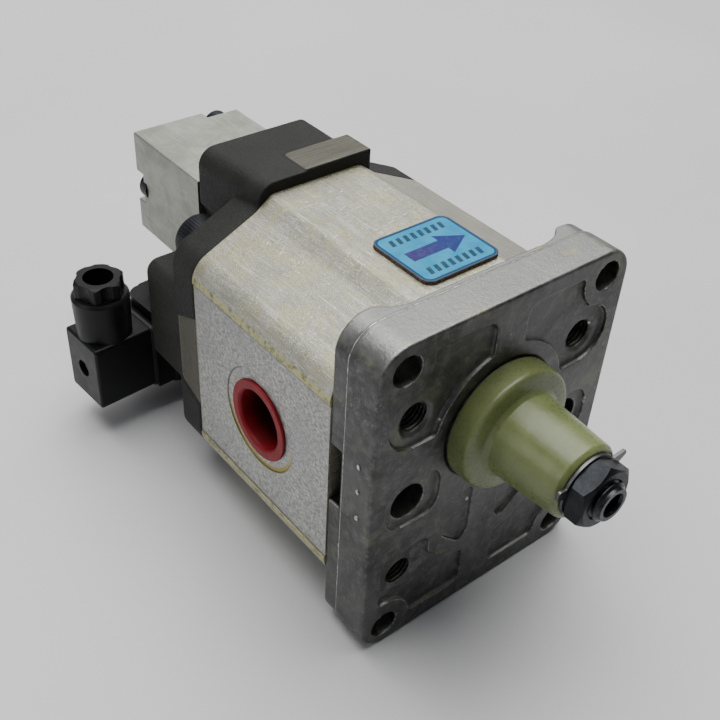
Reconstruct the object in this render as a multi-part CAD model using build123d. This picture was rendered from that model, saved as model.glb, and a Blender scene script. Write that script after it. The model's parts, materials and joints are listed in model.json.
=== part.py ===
from build123d import *
import os
from math import acos, cos, pi, radians, sin, sqrt, tan

# Hydraulic gear pump, millimetres. X runs from port to port, +Z is up, and the drive shaft
# points along -Y. The origin is the centre of the four mounting holes on the mounting face.

os.makedirs("parts", exist_ok=True)

# ---------------------------------------------------------------- driving dimensions
FLANGE_W, FLANGE_H, FLANGE_T = 89.0, 111.8, 18.0
FLANGE_CORNER_R = 9.5
PARTING_Y = 12.0            # die parting line on the flange's rim
RELIEF_Y = 14.0             # rear of the rim between its corner ears
EAR_HALF = 32.6             # the ears start this far from the middle
EAR_SWEEP = 11.5            # length of the hollow curve from an ear down to the rim
REAR_STEP = 0.35            # the rim's rear half is this much smaller all round
RELIEF_GROOVE_W = 1.5       # ring groove at the pilot's foot, clear of the sleeve's rim
BOLT_X, BOLT_Z = 71.5, 96.0 # mounting hole pattern
BOLT_R = 4.6
PILOT_R, PILOT_L = 18.25, 6.2

SHAFT_Z = 15.5              # drive shaft above the pattern's centre
IDLER_Z = -15.5             # driven shaft
BODY_Y0, BODY_Y1 = FLANGE_T, 84.5
BODY_HALF_W, BODY_HALF_H = 44.9, 50.0
PORT_FACE_X = 44.5          # machined port faces
PORT_FACE_HALF = 29.1
PORT_Y = 51.0
PORT_R, PORT_DEPTH = 13.1, 16.0
PORT_PITCH = 1.814          # pipe thread, 14 turns per inch
SPOT_R, SPOT_DEPTH = 16.7, 0.3

TIE_X, TIE_Z, TIE_Z0 = 30.4, 29.5, 0.0
TIE_R = 4.9
MID_X, MID_Z, MID_R = 30.2, -0.4, 5.75

TEETH = 12
CENTRES = SHAFT_Z - IDLER_Z
PRESSURE_ANGLE = radians(25.0)
TIP_R, ROOT_R = 18.1, 12.6
BACKLASH = 0.16             # taken off each tooth's thickness
CHAMBER_R = 18.35
JOURNAL_R, BUSH_IN_R, BUSH_OUT_R = 9.5, 9.56, 11.5
BLOCK_L = 19.8              # length of a bearing block
END_GAP = 0.2               # between block and casing, filled by the pressure seal

COVER_PLATE_Y = 96.0
COVER_Y = 115.0
BLOCK_TOP_Z, BLOCK_Y = 53.6, 115.0
BLOCK_X0, BLOCK_X0_REAR, BLOCK_X1 = -21.0, -23.7, 17.3
LOBE_Z0, LOBE_Z1 = -17.0, 21.0
PAD_X0, PAD_X1, PAD_L = -3.8, 21.0, 12.2
PAD_H = 0.5
PAD_CORNER_R = 1.6
FLAT_RIDGE_R = 4.0          # rounding along the edges of the casing's raised flats
FLAT_VALLEY_R = 8.0         # and along the hollows beside them
CASING_CORNER_R = 9.0

VALVE_X0, VALVE_X1, VALVE_STEP_X = -23.6, 15.3, 3.4
VALVE_Y1, VALVE_STEP_Y = 155.6, 151.7
VALVE_Z0, VALVE_Z1 = 5.6, 42.0
RECESS_Z0, RECESS_Z1 = 17.0, 27.7
CART_X, CART_Y = -8.5, 133.3
VALVE_SCREWS = [(8.5, 36.5), (-19.3, 22.4), (8.5, 11.5)]
P_CHANNEL_Z, T_CHANNEL_Z = 27.5, 13.5
CHANNEL_R = 2.6

COIL_X0, COIL_X1 = -35.0, 4.5
COIL_Y0, COIL_Y1 = 122.3, 144.3
COIL_TURN = 3.7             # the coil is clamped slightly turned about its own axis
COIL_Z0, COIL_Z1 = -38.5, -8.2
CONN_X0, CONN_X1 = -63.4, -42.0
CONN_Y0, CONN_Y1 = 123.6, 143.0
CONN_Z0, CONN_Z1 = -36.6, -11.9
GLAND_X, GLAND_Y = -53.9, 133.1
GLAND_R, GLAND_TOP = 9.6, 3.6

LABEL_X, LABEL_Y, LABEL_W, LABEL_L, LABEL_T = 3.0, 34.0, 27.4, 24.8, 1.2


# ---------------------------------------------------------------- helpers
def save(name, shape):
    export_step(shape, f"parts/{name}.step")


def facing_y(y):
    """A sketch plane whose local axes are X and Z, seen from the shaft's end."""
    return Plane(origin=(0, y, 0), x_dir=(1, 0, 0), z_dir=(0, -1, 0))


def slab(sketch, y0, y1):
    """Extrude an X-Z sketch from y0 to y1."""
    return extrude(facing_y(y1) * sketch, amount=y1 - y0)


def rod(radius, y0, y1, x=0.0, z=0.0):
    """A cylinder along Y."""
    return Pos(x, (y0 + y1) / 2, z) * Rot(90, 0, 0) * Cylinder(radius, y1 - y0)


def rod_x(radius, x0, x1, y=0.0, z=0.0):
    return Pos((x0 + x1) / 2, y, z) * Rot(0, 90, 0) * Cylinder(radius, x1 - x0)


def rod_z(radius, z0, z1, x=0.0, y=0.0):
    return Pos(x, y, (z0 + z1) / 2) * Cylinder(radius, z1 - z0)


def brick(x0, x1, y0, y1, z0, z1):
    return Pos((x0 + x1) / 2, (y0 + y1) / 2, (z0 + z1) / 2) * Box(x1 - x0, y1 - y0, z1 - z0)


def turned(points, x=0.0, z=0.0):
    """Revolve a (radius, y) outline about a line parallel to Y."""
    profile = make_face(Polyline(*[(r, y, 0) for r, y in points], close=True))
    return Pos(x, 0, z) * revolve(profile, Axis.Y)


def turned_z(points, x=0.0, y=0.0):
    """Revolve a (radius, z) outline about a line parallel to Z."""
    profile = make_face(Polyline(*[(r, 0, z) for r, z in points], close=True))
    return Pos(x, y, 0) * revolve(profile, Axis.Z)


def turned_x(points, y=0.0, z=0.0):
    """Revolve an (x, radius) outline about a line parallel to X."""
    profile = make_face(Polyline(*[(px, r, 0) for px, r in points], close=True))
    return Pos(0, y, z) * revolve(profile, Axis.X)


def thread_outline(crest, root, start, end, pitch):
    """The zigzag of a thread's crests and roots as (radius, place) points."""
    turns = int((end - start) / pitch)
    points = []
    for i in range(turns):
        points += [(root, start + i * pitch), (crest, start + (i + 0.4) * pitch),
                   (crest, start + (i + 0.6) * pitch)]
    return points + [(root, start + turns * pitch)]


def corners(dx, dz, z0=0.0):
    return [(sx * dx, z0 + sz * dz) for sx in (-1, 1) for sz in (-1, 1)]


TIE_PLACES = corners(TIE_X, TIE_Z, TIE_Z0)
DOWELS = [(20.0, 39.0), (-20.0, -39.0)]
DOWEL_R = 2.5


def both_gears(radius):
    """Two circles on the gear centres, joined."""
    return Pos(0, SHAFT_Z) * Circle(radius) + Pos(0, IDLER_Z) * Circle(radius)


def seal_track(radius, width):
    """A racetrack band round both gear chambers."""
    outer = Rot(0, 0, 90) * SlotCenterToCenter(CENTRES, 2 * (radius + width / 2))
    inner = Rot(0, 0, 90) * SlotCenterToCenter(CENTRES, 2 * (radius - width / 2))
    return outer - inner


SEAL_TRACK_R, SEAL_TRACK_W, SEAL_TRACK_DEPTH = 21.6, 2.6, 2.0


# ---------------------------------------------------------------- front flange
def soften(area, radius):
    """Round each corner of a sketch, with a smaller radius where a corner has less room."""
    for corner in [vertex.center() for vertex in area.vertices()]:
        for r in (radius, radius / 2, radius / 5):
            try:
                area = fillet(area.vertices().sort_by_distance(corner)[0], r)
                break
            except ValueError:
                continue
    return area


def pocket_upper():
    """Shallow pocket round the upper tapped hole, on the +X side."""
    area = make_face(Polyline((5.5, 30), (5.5, 50.6), (TIE_X, 50.6), (TIE_X, 20.6), (12, 20.6), close=True))
    area += Pos(TIE_X, TIE_Z + 0.8) * Circle(9.7)
    area -= Pos(0, SHAFT_Z) * Circle(24.0)
    area -= Pos(BOLT_X / 2, BOLT_Z / 2) * Circle(9.0)
    inner_top = area.vertices().sort_by_distance((5.5, 50.6, 0))[0]
    return soften(fillet(inner_top, 4.2), 1.8)


def pocket_lower():
    """The same pocket below, with a bite round the foot of the slot."""
    outline = Polyline((21.5, -19), (21, -26), (14, -32.4), (6.3, -35), (6.3, -49), (27, -49), (38.5, -38),
                       (38.5, -19), close=True)
    area = make_face(outline) - Pos(BOLT_X / 2, -BOLT_Z / 2) * Circle(9.4)
    return soften(area, 2.6)


def pocket_middle():
    return Pos(29.0, 0.1) * RectangleRounded(19.0, 17.4, 6.4)


def slot_middle():
    """Tapering slot below the pilot."""
    outline = Polyline((5.6, -8), (5.6, -26), (8.2, -30), (15.8, -22.8), (15.8, -8), close=True)
    area = make_face(outline) - Pos(0, SHAFT_Z) * Circle(22.5)
    return soften(area, 1.8)


POCKET_DEPTH = 1.2


def make_front_flange():
    front = slab(RectangleRounded(FLANGE_W, FLANGE_H, FLANGE_CORNER_R), 0, PARTING_Y)
    front = fillet(front.faces().sort_by(Axis.Y)[0].edges(), 0.9)
    rear = RectangleRounded(FLANGE_W - 2 * REAR_STEP, FLANGE_H - 2 * REAR_STEP, FLANGE_CORNER_R)
    part = front + slab(rear, PARTING_Y, FLANGE_T)
    sweep_mid = (EAR_HALF - 4.0, RELIEF_Y + 1.1)
    sweep_end = (EAR_HALF - EAR_SWEEP, RELIEF_Y)
    for side in (-1, 1):
        left = ThreePointArc((-EAR_HALF, FLANGE_T), (-sweep_mid[0], sweep_mid[1]),
                             (-sweep_end[0], sweep_end[1]))
        right = ThreePointArc(sweep_end, sweep_mid, (EAR_HALF, FLANGE_T))
        rest = Polyline((EAR_HALF, FLANGE_T), (EAR_HALF + 0.6, FLANGE_T + 1), (-EAR_HALF - 0.6, FLANGE_T + 1),
                        (-EAR_HALF, FLANGE_T))
        plan = make_face([left, Line(left @ 1, right @ 0), right, rest])
        relief = Pos(0, 0, BODY_HALF_H + 0.3) * extrude(plan, 8)
        part -= relief if side > 0 else mirror(relief, about=Plane.XY)
        notch = Pos(side * (FLANGE_W / 2 + 1), 5.5) * RectangleRounded(12.0, 21.0, 3.0)
        part -= slab(notch, PARTING_Y + 1.2, FLANGE_T + 1)
    part += turned([(0, 0.5), (0, -PILOT_L), (PILOT_R - 0.8, -PILOT_L), (PILOT_R, -PILOT_L + 0.8),
                    (PILOT_R, 0.5)], z=SHAFT_Z)
    groove_r = PILOT_R + RELIEF_GROOVE_W
    part -= turned([(PILOT_R, -0.5), (PILOT_R, 0.5), (groove_r, 0.5), (groove_r, -0.5)], z=SHAFT_Z)
    for shape in (pocket_upper(), pocket_lower(), pocket_middle(), slot_middle()):
        for face in (shape, mirror(shape, about=Plane.YZ)):
            part -= slab(face, -0.5, POCKET_DEPTH)
    for x, z in corners(BOLT_X / 2, BOLT_Z / 2):
        part -= rod(BOLT_R, -1, FLANGE_T + 1, x, z)
    for x, z in TIE_PLACES:
        thread = thread_outline(4.3, 5.0, 1.6, 8.8, 1.2)
        outline = [(0, -1), (5.6, -1), (5.6, POCKET_DEPTH)] + thread + [(5.05, 8.9), (5.05, FLANGE_T + 1)]
        part -= turned(outline + [(0, FLANGE_T + 1)], x, z)
    for side in (-1, 1):
        part -= turned([(0, -1), (MID_R, -1), (MID_R, 13), (0, 15)], side * MID_X, MID_Z)
    part -= rod(SEAL_OUT_R, -PILOT_L - 1, SEAL_Y1, 0, SHAFT_Z)
    part -= rod(SEAL_OUT_R + 0.9, CLIP_Y0, CLIP_Y1, 0, SHAFT_Z)
    part -= rod(10.2, -PILOT_L - 1, FLANGE_T + 1, 0, SHAFT_Z)
    part -= rod(10.2, FLANGE_T - 3, FLANGE_T + 1, 0, IDLER_Z)
    part -= slab(seal_track(SEAL_TRACK_R, SEAL_TRACK_W), FLANGE_T - SEAL_TRACK_DEPTH, FLANGE_T + 1)
    for x, z in DOWELS:
        part -= rod(DOWEL_R, FLANGE_T - 6, FLANGE_T + 1, x, z)
    return part


# ---------------------------------------------------------------- pump body and cover
def hump(half_w):
    """The casing's outline: a raised flat on top and below, shoulders, and rounded corners."""
    quarter = [(16.6, BODY_HALF_H), (22.4, 45.5), (half_w, 35.0)]
    right_up = quarter + [(x, -z) for x, z in reversed(quarter)]
    left = [(-x, z) for x, z in reversed(right_up)]
    face = make_face(Polyline(*right_up, *left, close=True))
    side = face.vertices().filter_by(lambda v: abs(abs(v.X) - half_w) < 0.01)
    face = fillet(side, CASING_CORNER_R)
    ridge = face.vertices().filter_by(lambda v: abs(v.X) < 18)
    face = fillet(ridge, FLAT_RIDGE_R)
    valley = face.vertices().filter_by(lambda v: abs(abs(v.X) - 22.4) < 0.01)
    return fillet(valley, FLAT_VALLEY_R)


def make_pump_body():
    part = slab(hump(BODY_HALF_W), BODY_Y0, BODY_Y1)
    for side in (-1, 1):
        flat = brick(PORT_FACE_X, PORT_FACE_X + 5, BODY_Y0 - 1, BODY_Y1 + 1, -PORT_FACE_HALF, PORT_FACE_HALF)
        port = rod_x(SPOT_R, PORT_FACE_X - SPOT_DEPTH, PORT_FACE_X + 5, PORT_Y)
        thread = thread_outline(PORT_R, PORT_R - 1.2, PORT_FACE_X - PORT_DEPTH, PORT_FACE_X - 2, PORT_PITCH)
        port += turned_x([(12, 0)] + [(12, 9.5), (PORT_FACE_X - PORT_DEPTH, 9.5)]
                         + [(x, r) for r, x in thread] + [(PORT_FACE_X - 0.8, PORT_R - 0.6),
                         (PORT_FACE_X + 1, PORT_R + 0.8), (PORT_FACE_X + 1, 0)], y=PORT_Y)
        cut = flat + port
        part -= cut if side > 0 else mirror(cut, about=Plane.YZ)
    part -= slab(both_gears(CHAMBER_R), BODY_Y0 - 1, BODY_Y1 + 1)
    part -= rod_x(9.5, -14, 14, PORT_Y)
    for x, z in TIE_PLACES:
        part -= rod(5.3, BODY_Y0 - 1, BODY_Y1 + 1, x, z)
    for x, z in DOWELS:
        part -= rod(DOWEL_R, BODY_Y0 - 1, BODY_Y0 + 6, x, z)
        part -= rod(DOWEL_R, BODY_Y1 - 6, BODY_Y1 + 1, x, z)
    return part


def make_rear_cover():
    plate = slab(hump(BODY_HALF_W), BODY_Y1, COVER_PLATE_Y)
    lobe_w, lobe_h = 2 * PORT_FACE_X, LOBE_Z1 - LOBE_Z0
    lobe = Pos(0, (LOBE_Z0 + LOBE_Z1) / 2) * RectangleRounded(lobe_w, lobe_h, 4.5)
    lobes = slab(lobe, COVER_PLATE_Y, COVER_Y)
    lobes = fillet(lobes.faces().sort_by(Axis.Y)[-1].edges(), 2.0)
    plan = make_face(Polyline((BLOCK_X0, BODY_Y1), (BLOCK_X1, BODY_Y1), (BLOCK_X1, BLOCK_Y),
                              (BLOCK_X0_REAR, BLOCK_Y), close=True))
    tower = Pos(0, 0, -5) * extrude(plan, BLOCK_TOP_Z + 5)
    top = tower.faces().sort_by(Axis.Z)[-1].edges().sort_by(Axis.X)
    tower = fillet(top[0], 6.0)
    right_top = tower.faces().sort_by(Axis.Z)[-1].edges().sort_by(Axis.X)[-1]
    tower = fillet(right_top, 2.5)
    upright = tower.edges().filter_by(Axis.Z).filter_by(lambda e: e.center().Y > BLOCK_Y - 0.1)
    tower = fillet(upright, 1.6)
    pad = brick(PAD_X0, PAD_X1, BODY_Y1, BODY_Y1 + PAD_L, 44, BLOCK_TOP_Z + PAD_H)
    pad = fillet(pad.edges().filter_by(Axis.Z).sort_by(Axis.X)[:2], PAD_CORNER_R)
    part = plate + lobes + tower + pad
    keel = brick(-17, 17, COVER_PLATE_Y - 1, 106, -46, 0)
    part += fillet(keel.edges().filter_by(Axis.Y), 4.0)
    for side in (-1, 1):
        milled = make_face(Polyline((BODY_Y1 - 1, 16.5), (BODY_Y1 + 11.2, 11.5), (BODY_Y1 + 11.2, -13.5),
                                    (BODY_Y1 - 1, -19.0), close=True))
        milled = fillet(milled.vertices().sort_by(Axis.X)[-2:], PAD_CORNER_R)
        flat = Plane(origin=(PORT_FACE_X - 0.3, 0, 0), x_dir=(0, 1, 0), z_dir=(1, 0, 0)) * milled
        cut = extrude(flat, 5)
        part -= cut if side > 0 else mirror(cut, about=Plane.YZ)
    for x, z in TIE_PLACES:
        part -= rod(5.3, BODY_Y1 - 1, COVER_Y + 2, x, z)
        part -= rod(8.9, COVER_PLATE_Y, COVER_Y + 2, x, z)
    part -= slab(seal_track(SEAL_TRACK_R, SEAL_TRACK_W), BODY_Y1 - 1, BODY_Y1 + SEAL_TRACK_DEPTH)
    for z in (SHAFT_Z, IDLER_Z):
        part -= rod(10.2, BODY_Y1 - 1, BODY_Y1 + 2.5, 0, z)
    for z in (P_CHANNEL_Z, T_CHANNEL_Z):
        part -= rod(CHANNEL_R, BODY_Y1 - 1, BLOCK_Y + 1, CART_X, z)
    for x, z in VALVE_SCREWS:
        part -= rod(2.6, BLOCK_Y - 16, BLOCK_Y + 1, x, z)
    for x, z in DOWELS:
        part -= rod(DOWEL_R, BODY_Y1 - 1, BODY_Y1 + 6, x, z)
    return part


# ---------------------------------------------------------------- gears and bearings
def gear_face(first_tooth):
    """Involute gear outline with a tooth centred on the angle first_tooth."""
    pitch_r = CENTRES / 2
    base_r = pitch_r * cos(PRESSURE_ANGLE)
    involute = lambda angle: tan(angle) - angle
    half_pitch_tooth = (pi * pitch_r / TEETH - BACKLASH) / (2 * pitch_r)
    steps = 6

    def flank(radius):
        roll = acos(min(1.0, base_r / radius))
        return half_pitch_tooth + involute(PRESSURE_ANGLE) - involute(roll)

    radii = [base_r + (TIP_R - base_r) * (i / steps) for i in range(steps + 1)]
    outline = []
    for tooth in range(TEETH):
        middle = first_tooth + 2 * pi * tooth / TEETH
        rising = [(ROOT_R, middle - flank(base_r))] + [(r, middle - flank(r)) for r in radii]
        falling = [(r, middle + flank(r)) for r in reversed(radii)] + [(ROOT_R, middle + flank(base_r))]
        outline += [(r * cos(a), r * sin(a)) for r, a in rising + falling]
    return make_face(Polyline(*outline, close=True))


BLOCK_Y0 = BODY_Y0 + END_GAP
GEAR_Y0 = BLOCK_Y0 + BLOCK_L + 0.12
BLOCK_Y1 = BODY_Y1 - END_GAP
GEAR_Y1 = BLOCK_Y1 - BLOCK_L - 0.12
SHAFT_END_Y = BODY_Y1 - 0.4
TAPER_Y0, TAPER_Y1 = -9.0, -28.4
TAPER_R0 = 9.0
TAPER_R1 = TAPER_R0 - (TAPER_Y0 - TAPER_Y1) / 16
THREAD_R, SHAFT_TIP_Y = 5.95, -41.2
KEY_W, KEY_R, KEY_Y = 3.0, 6.5, -20.0
KEY_Z = SHAFT_Z + 3.6


def shaft_key():
    disc = rod_x(KEY_R, -KEY_W / 2, KEY_W / 2, KEY_Y, KEY_Z)
    return disc - brick(-5, 5, KEY_Y - 20, KEY_Y + 20, SHAFT_Z + 9.6, SHAFT_Z + 30)


def make_drive_gear_shaft():
    thread = thread_outline(THREAD_R, THREAD_R - 0.75, SHAFT_TIP_Y + 0.9, TAPER_Y1 - 0.6, 1.5)
    outline = [(0, SHAFT_TIP_Y), (THREAD_R - 1.0, SHAFT_TIP_Y)] + thread
    outline += [(5.1, TAPER_Y1), (TAPER_R1, TAPER_Y1), (TAPER_R0, TAPER_Y0), (9.2, TAPER_Y0 + 0.6),
                (9.2, -2), (9.4, -1.6), (9.4, BODY_Y0 + 0.2), (JOURNAL_R, BODY_Y0 + 0.4),
                (JOURNAL_R, SHAFT_END_Y - 1), (JOURNAL_R - 1, SHAFT_END_Y), (0, SHAFT_END_Y)]
    part = turned(outline, z=SHAFT_Z)
    gear = Pos(0, SHAFT_Z) * gear_face(-pi / 2)
    part += slab(gear, GEAR_Y0, GEAR_Y1)
    part -= turned([(0, SHAFT_TIP_Y - 1), (4.3, SHAFT_TIP_Y - 1), (3.3, SHAFT_TIP_Y + 0.8),
                    (3.3, SHAFT_TIP_Y + 9), (0, SHAFT_TIP_Y + 10.8)], z=SHAFT_Z)
    return part - shaft_key()


def make_driven_gear_shaft():
    outline = [(0, BODY_Y0 + 0.4), (JOURNAL_R - 1, BODY_Y0 + 0.4), (JOURNAL_R, BODY_Y0 + 1.4),
               (JOURNAL_R, SHAFT_END_Y - 1), (JOURNAL_R - 1, SHAFT_END_Y), (0, SHAFT_END_Y)]
    gear = Pos(0, IDLER_Z) * gear_face(pi / 2 + pi / TEETH)
    return turned(outline, z=IDLER_Z) + slab(gear, GEAR_Y0, GEAR_Y1)


PRESSURE_SEAL_R, PRESSURE_SEAL_W, PRESSURE_SEAL_T = 14.6, 2.2, 1.8


def eight_band(radius, width):
    """A figure-eight band that follows both chambers' walls."""
    return both_gears(radius + width / 2) - both_gears(radius - width / 2)


def make_bearing_block(y0, y1, outer_y):
    part = slab(both_gears(CHAMBER_R), y0, y1)
    for z in (SHAFT_Z, IDLER_Z):
        part -= rod(BUSH_OUT_R, y0 - 1, y1 + 1, 0, z)
    groove = eight_band(PRESSURE_SEAL_R, PRESSURE_SEAL_W)
    depth = PRESSURE_SEAL_T - END_GAP
    if outer_y == y0:
        return part - slab(groove, y0 - 1, y0 + depth)
    return part - slab(groove, y1 - depth, y1 + 1)


def make_bearing_bushes():
    bushes = []
    for y0 in (BLOCK_Y0, BLOCK_Y1 - BLOCK_L):
        for z in (SHAFT_Z, IDLER_Z):
            bush = rod(BUSH_OUT_R, y0, y0 + BLOCK_L, 0, z)
            bushes.append(bush - rod(BUSH_IN_R, y0 - 1, y0 + BLOCK_L + 1, 0, z))
    return Compound(children=bushes)


# ---------------------------------------------------------------- shaft seal, sleeve, nut
SEAL_OUT_R, SEAL_LIP_R = 15.0, 9.46
SEAL_Y0, SEAL_Y1 = -4.2, 1.8
CLIP_Y0, CLIP_Y1 = -5.5, -4.3


def make_shaft_seal():
    return turned([(SEAL_LIP_R, -0.2), (SEAL_LIP_R, 0.4), (11.2, 1.4), (12.2, 1.4), (12.2, SEAL_Y0 + 1.4),
                   (13.6, SEAL_Y0 + 1.4), (13.6, SEAL_Y1), (SEAL_OUT_R, SEAL_Y1), (SEAL_OUT_R, SEAL_Y0),
                   (10.4, SEAL_Y0), (10.4, -1.6)], z=SHAFT_Z)


def make_seal_clip():
    ring = rod(SEAL_OUT_R + 0.8, CLIP_Y0 + 0.05, CLIP_Y1 - 0.05, 0, SHAFT_Z)
    ring -= rod(SEAL_OUT_R - 1.9, CLIP_Y0 - 1, CLIP_Y1 + 1, 0, SHAFT_Z)
    return ring - brick(-2.6, 2.6, CLIP_Y0 - 1, CLIP_Y1 + 1, SHAFT_Z - 20, SHAFT_Z - 10)


SLEEVE_R, SLEEVE_Y0, SLEEVE_Y1 = 19.3, -0.4, -7.9
BARREL_R0, BARREL_R1, SLEEVE_END_Y, SLEEVE_WALL_Y = 12.9, 11.5, -31.9, -29.6


def make_protective_sleeve():
    """Plastic cap: a cup over the pilot and a slightly tapering barrel over the shaft."""
    outline = [(PILOT_R + 0.35, SLEEVE_Y0), (SLEEVE_R, SLEEVE_Y0), (SLEEVE_R, SLEEVE_Y1 + 1.6),
               (SLEEVE_R - 0.5, SLEEVE_Y1 + 0.5), (SLEEVE_R - 1.6, SLEEVE_Y1),
               (BARREL_R0 + 1.2, SLEEVE_Y1 - 0.5), (BARREL_R0, SLEEVE_Y1 - 1.6),
               (BARREL_R1, SLEEVE_END_Y + 1.2), (BARREL_R1 - 1.0, SLEEVE_END_Y),
               (6.6, SLEEVE_END_Y), (6.6, SLEEVE_WALL_Y), (10.0, SLEEVE_WALL_Y), (10.6, SLEEVE_Y1 + 1.2),
               (PILOT_R + 0.35, SLEEVE_Y1 + 1.2)]
    return turned(outline, z=SHAFT_Z)


WASHER_Y0, WASHER_Y1 = SLEEVE_END_Y - 1.0, SLEEVE_END_Y
NUT_Y0, NUT_Y1 = -38.7, WASHER_Y0
NUT_AF, NUT_TURN = 17.5, 28.0
WASHER_R = 9.8


def make_tab_washer():
    ring = rod(WASHER_R, WASHER_Y0, WASHER_Y1, 0, SHAFT_Z)
    ring -= rod(6.2, WASHER_Y0 - 1, WASHER_Y1 + 1, 0, SHAFT_Z)
    for angle, reach, base, tip in ((20.0, 14.2, 3.8, 1.5), (166.0, 12.3, 3.2, 2.6)):
        plan = make_face(Polyline((0, -base / 2), (WASHER_R, -base / 2), (reach, -tip / 2), (reach, tip / 2),
                                  (WASHER_R, base / 2), (0, base / 2), close=True))
        plan = fillet(plan.vertices().sort_by(Axis.X)[-2:], 0.35 * tip)
        tab = slab(plan, (WASHER_Y0 - WASHER_Y1) / 2, (WASHER_Y1 - WASHER_Y0) / 2)
        tab -= rod(WASHER_R - 1, -5, 5)
        ring += Pos(0, (WASHER_Y0 + WASHER_Y1) / 2, SHAFT_Z) * Rot(0, -angle, 0) * tab
    return ring


def make_shaft_nut():
    hexagon = Rot(0, 0, NUT_TURN) * RegularPolygon(NUT_AF / 2, 6, major_radius=False)
    part = slab(Pos(0, SHAFT_Z) * hexagon, NUT_Y0, NUT_Y1)
    crown = turned([(0, NUT_Y0), (NUT_AF / 2 - 0.4, NUT_Y0), (NUT_AF / 2 + 1.4, NUT_Y0 + 1.25),
                    (NUT_AF / 2 + 1.4, NUT_Y1 - 0.9), (NUT_AF / 2 + 0.1, NUT_Y1), (0, NUT_Y1)], z=SHAFT_Z)
    bore = turned([(0, NUT_Y0 - 1), (6.9, NUT_Y0 - 1), (6.05, NUT_Y0 + 0.5), (6.05, NUT_Y1 + 1),
                   (0, NUT_Y1 + 1)], z=SHAFT_Z)
    return (part & crown) - bore


# ---------------------------------------------------------------- bolts, dowels, plugs, label
HEAD_R, HEAD_L, TIE_WASHER_T = 7.8, 9.4, 0.8
TIE_TIP_Y = 9.4


def make_tie_bolts():
    bolts = []
    seat = COVER_PLATE_Y + TIE_WASHER_T
    for x, z in TIE_PLACES:
        bolt = rod(TIE_R, TIE_TIP_Y, seat, x, z)
        bolt += turned([(0, seat), (HEAD_R, seat), (HEAD_R, seat + HEAD_L - 0.8),
                        (HEAD_R - 0.8, seat + HEAD_L), (0, seat + HEAD_L)], x, z)
        socket = Pos(x, z) * RegularPolygon(4.0, 6, major_radius=False)
        bolts.append(bolt - slab(socket, seat + HEAD_L - 5, seat + HEAD_L + 1))
    return Compound(children=bolts)


def make_tie_bolt_washers():
    return Compound(children=[rod(8.6, COVER_PLATE_Y, COVER_PLATE_Y + TIE_WASHER_T, x, z)
                              - rod(5.3, COVER_PLATE_Y - 1, COVER_PLATE_Y + 2, x, z) for x, z in TIE_PLACES])


def make_dowel_pins():
    pins = []
    for y in (BODY_Y0, BODY_Y1):
        for x, z in DOWELS:
            pins.append(rod(DOWEL_R, y - 5.8, y + 5.8, x, z))
    return Compound(children=pins)


PLUG_R, PLUG_BORE_R, PLUG_DEPTH = 11.6, 9.6, 14.5


def make_port_plug(side):
    """Push-in cup that keeps dirt out of a port."""
    face = PORT_FACE_X - SPOT_DEPTH
    outline = [(face - PLUG_DEPTH, 0), (face - PLUG_DEPTH, PLUG_R - 1.0), (face - PLUG_DEPTH + 1.0, PLUG_R),
               (face - 1.0, PLUG_R), (face + 0.2, PLUG_R + 1.4), (face + 1.0, PLUG_R + 1.4),
               (face + 1.0, PLUG_BORE_R + 0.7), (face + 0.2, PLUG_BORE_R),
               (face - PLUG_DEPTH + 1.6, PLUG_BORE_R - 0.6), (face - PLUG_DEPTH + 1.6, 0)]
    plug = turned_x(outline, y=PORT_Y)
    return plug if side > 0 else mirror(plug, about=Plane.YZ)


def make_rotation_label():
    plate = Pos(LABEL_X, LABEL_Y, BODY_HALF_H) * extrude(RectangleRounded(LABEL_W, LABEL_L, 3.2), LABEL_T)
    return fillet(plate.faces().sort_by(Axis.Z)[-1].edges(), 0.25)


# ---------------------------------------------------------------- valve block and cartridge
def make_valve_block():
    part = brick(VALVE_X0, VALVE_X1, BLOCK_Y, VALVE_Y1, VALVE_Z0, VALVE_Z1)
    part -= brick(VALVE_STEP_X, VALVE_X1 + 1, VALVE_STEP_Y, VALVE_Y1 + 1, VALVE_Z0 - 1, VALVE_Z1 + 1)
    part -= brick(VALVE_X0 - 1, VALVE_STEP_X + 1, VALVE_STEP_Y - 0.4, VALVE_Y1 + 1, RECESS_Z0, RECESS_Z1)
    part = chamfer(part.edges().filter_by(Axis.Y), 0.4)
    part -= rod_z(CART_R, VALVE_Z0 - 1, CART_TOP + 0.4, CART_X, CART_Y)
    for z in (P_CHANNEL_Z, T_CHANNEL_Z):
        part -= rod(CHANNEL_R, BLOCK_Y - 1, CART_Y, CART_X, z)
        part -= rod(4.6, BLOCK_Y - 1, BLOCK_Y + 1.4, CART_X, z)
    for x, z in VALVE_SCREWS:
        part -= rod(3.2, BLOCK_Y - 1, VALVE_Y1 + 1, x, z)
        part -= rod(5.1, screw_seat(x), VALVE_Y1 + 1, x, z)
    return part


def screw_seat(x):
    return VALVE_STEP_Y if x > VALVE_STEP_X else VALVE_STEP_Y - 2.6


def make_valve_block_screws():
    screws = []
    for x, z in VALVE_SCREWS:
        seat = screw_seat(x)
        screw = rod(2.55, BLOCK_Y - 14, BLOCK_Y, x, z) + rod(3.0, BLOCK_Y, seat, x, z)
        screw += turned([(0, seat), (5, seat), (5, seat + 4.4), (4.2, seat + 5.0), (0, seat + 5.2)], x, z)
        socket = Pos(x, z) * RegularPolygon(2.5, 6, major_radius=False)
        screws.append(screw - slab(socket, seat + 2.6, seat + 7))
    return Compound(children=screws)


def torus_ring(radius, section, centre, axis):
    plane = Plane(origin=centre, z_dir=axis)
    return plane * Torus(radius, section)


def make_valve_block_seals():
    return Compound(children=[torus_ring(3.7, 0.7, (CART_X, BLOCK_Y + 0.7, z), (0, 1, 0))
                              for z in (P_CHANNEL_Z, T_CHANNEL_Z)])


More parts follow.
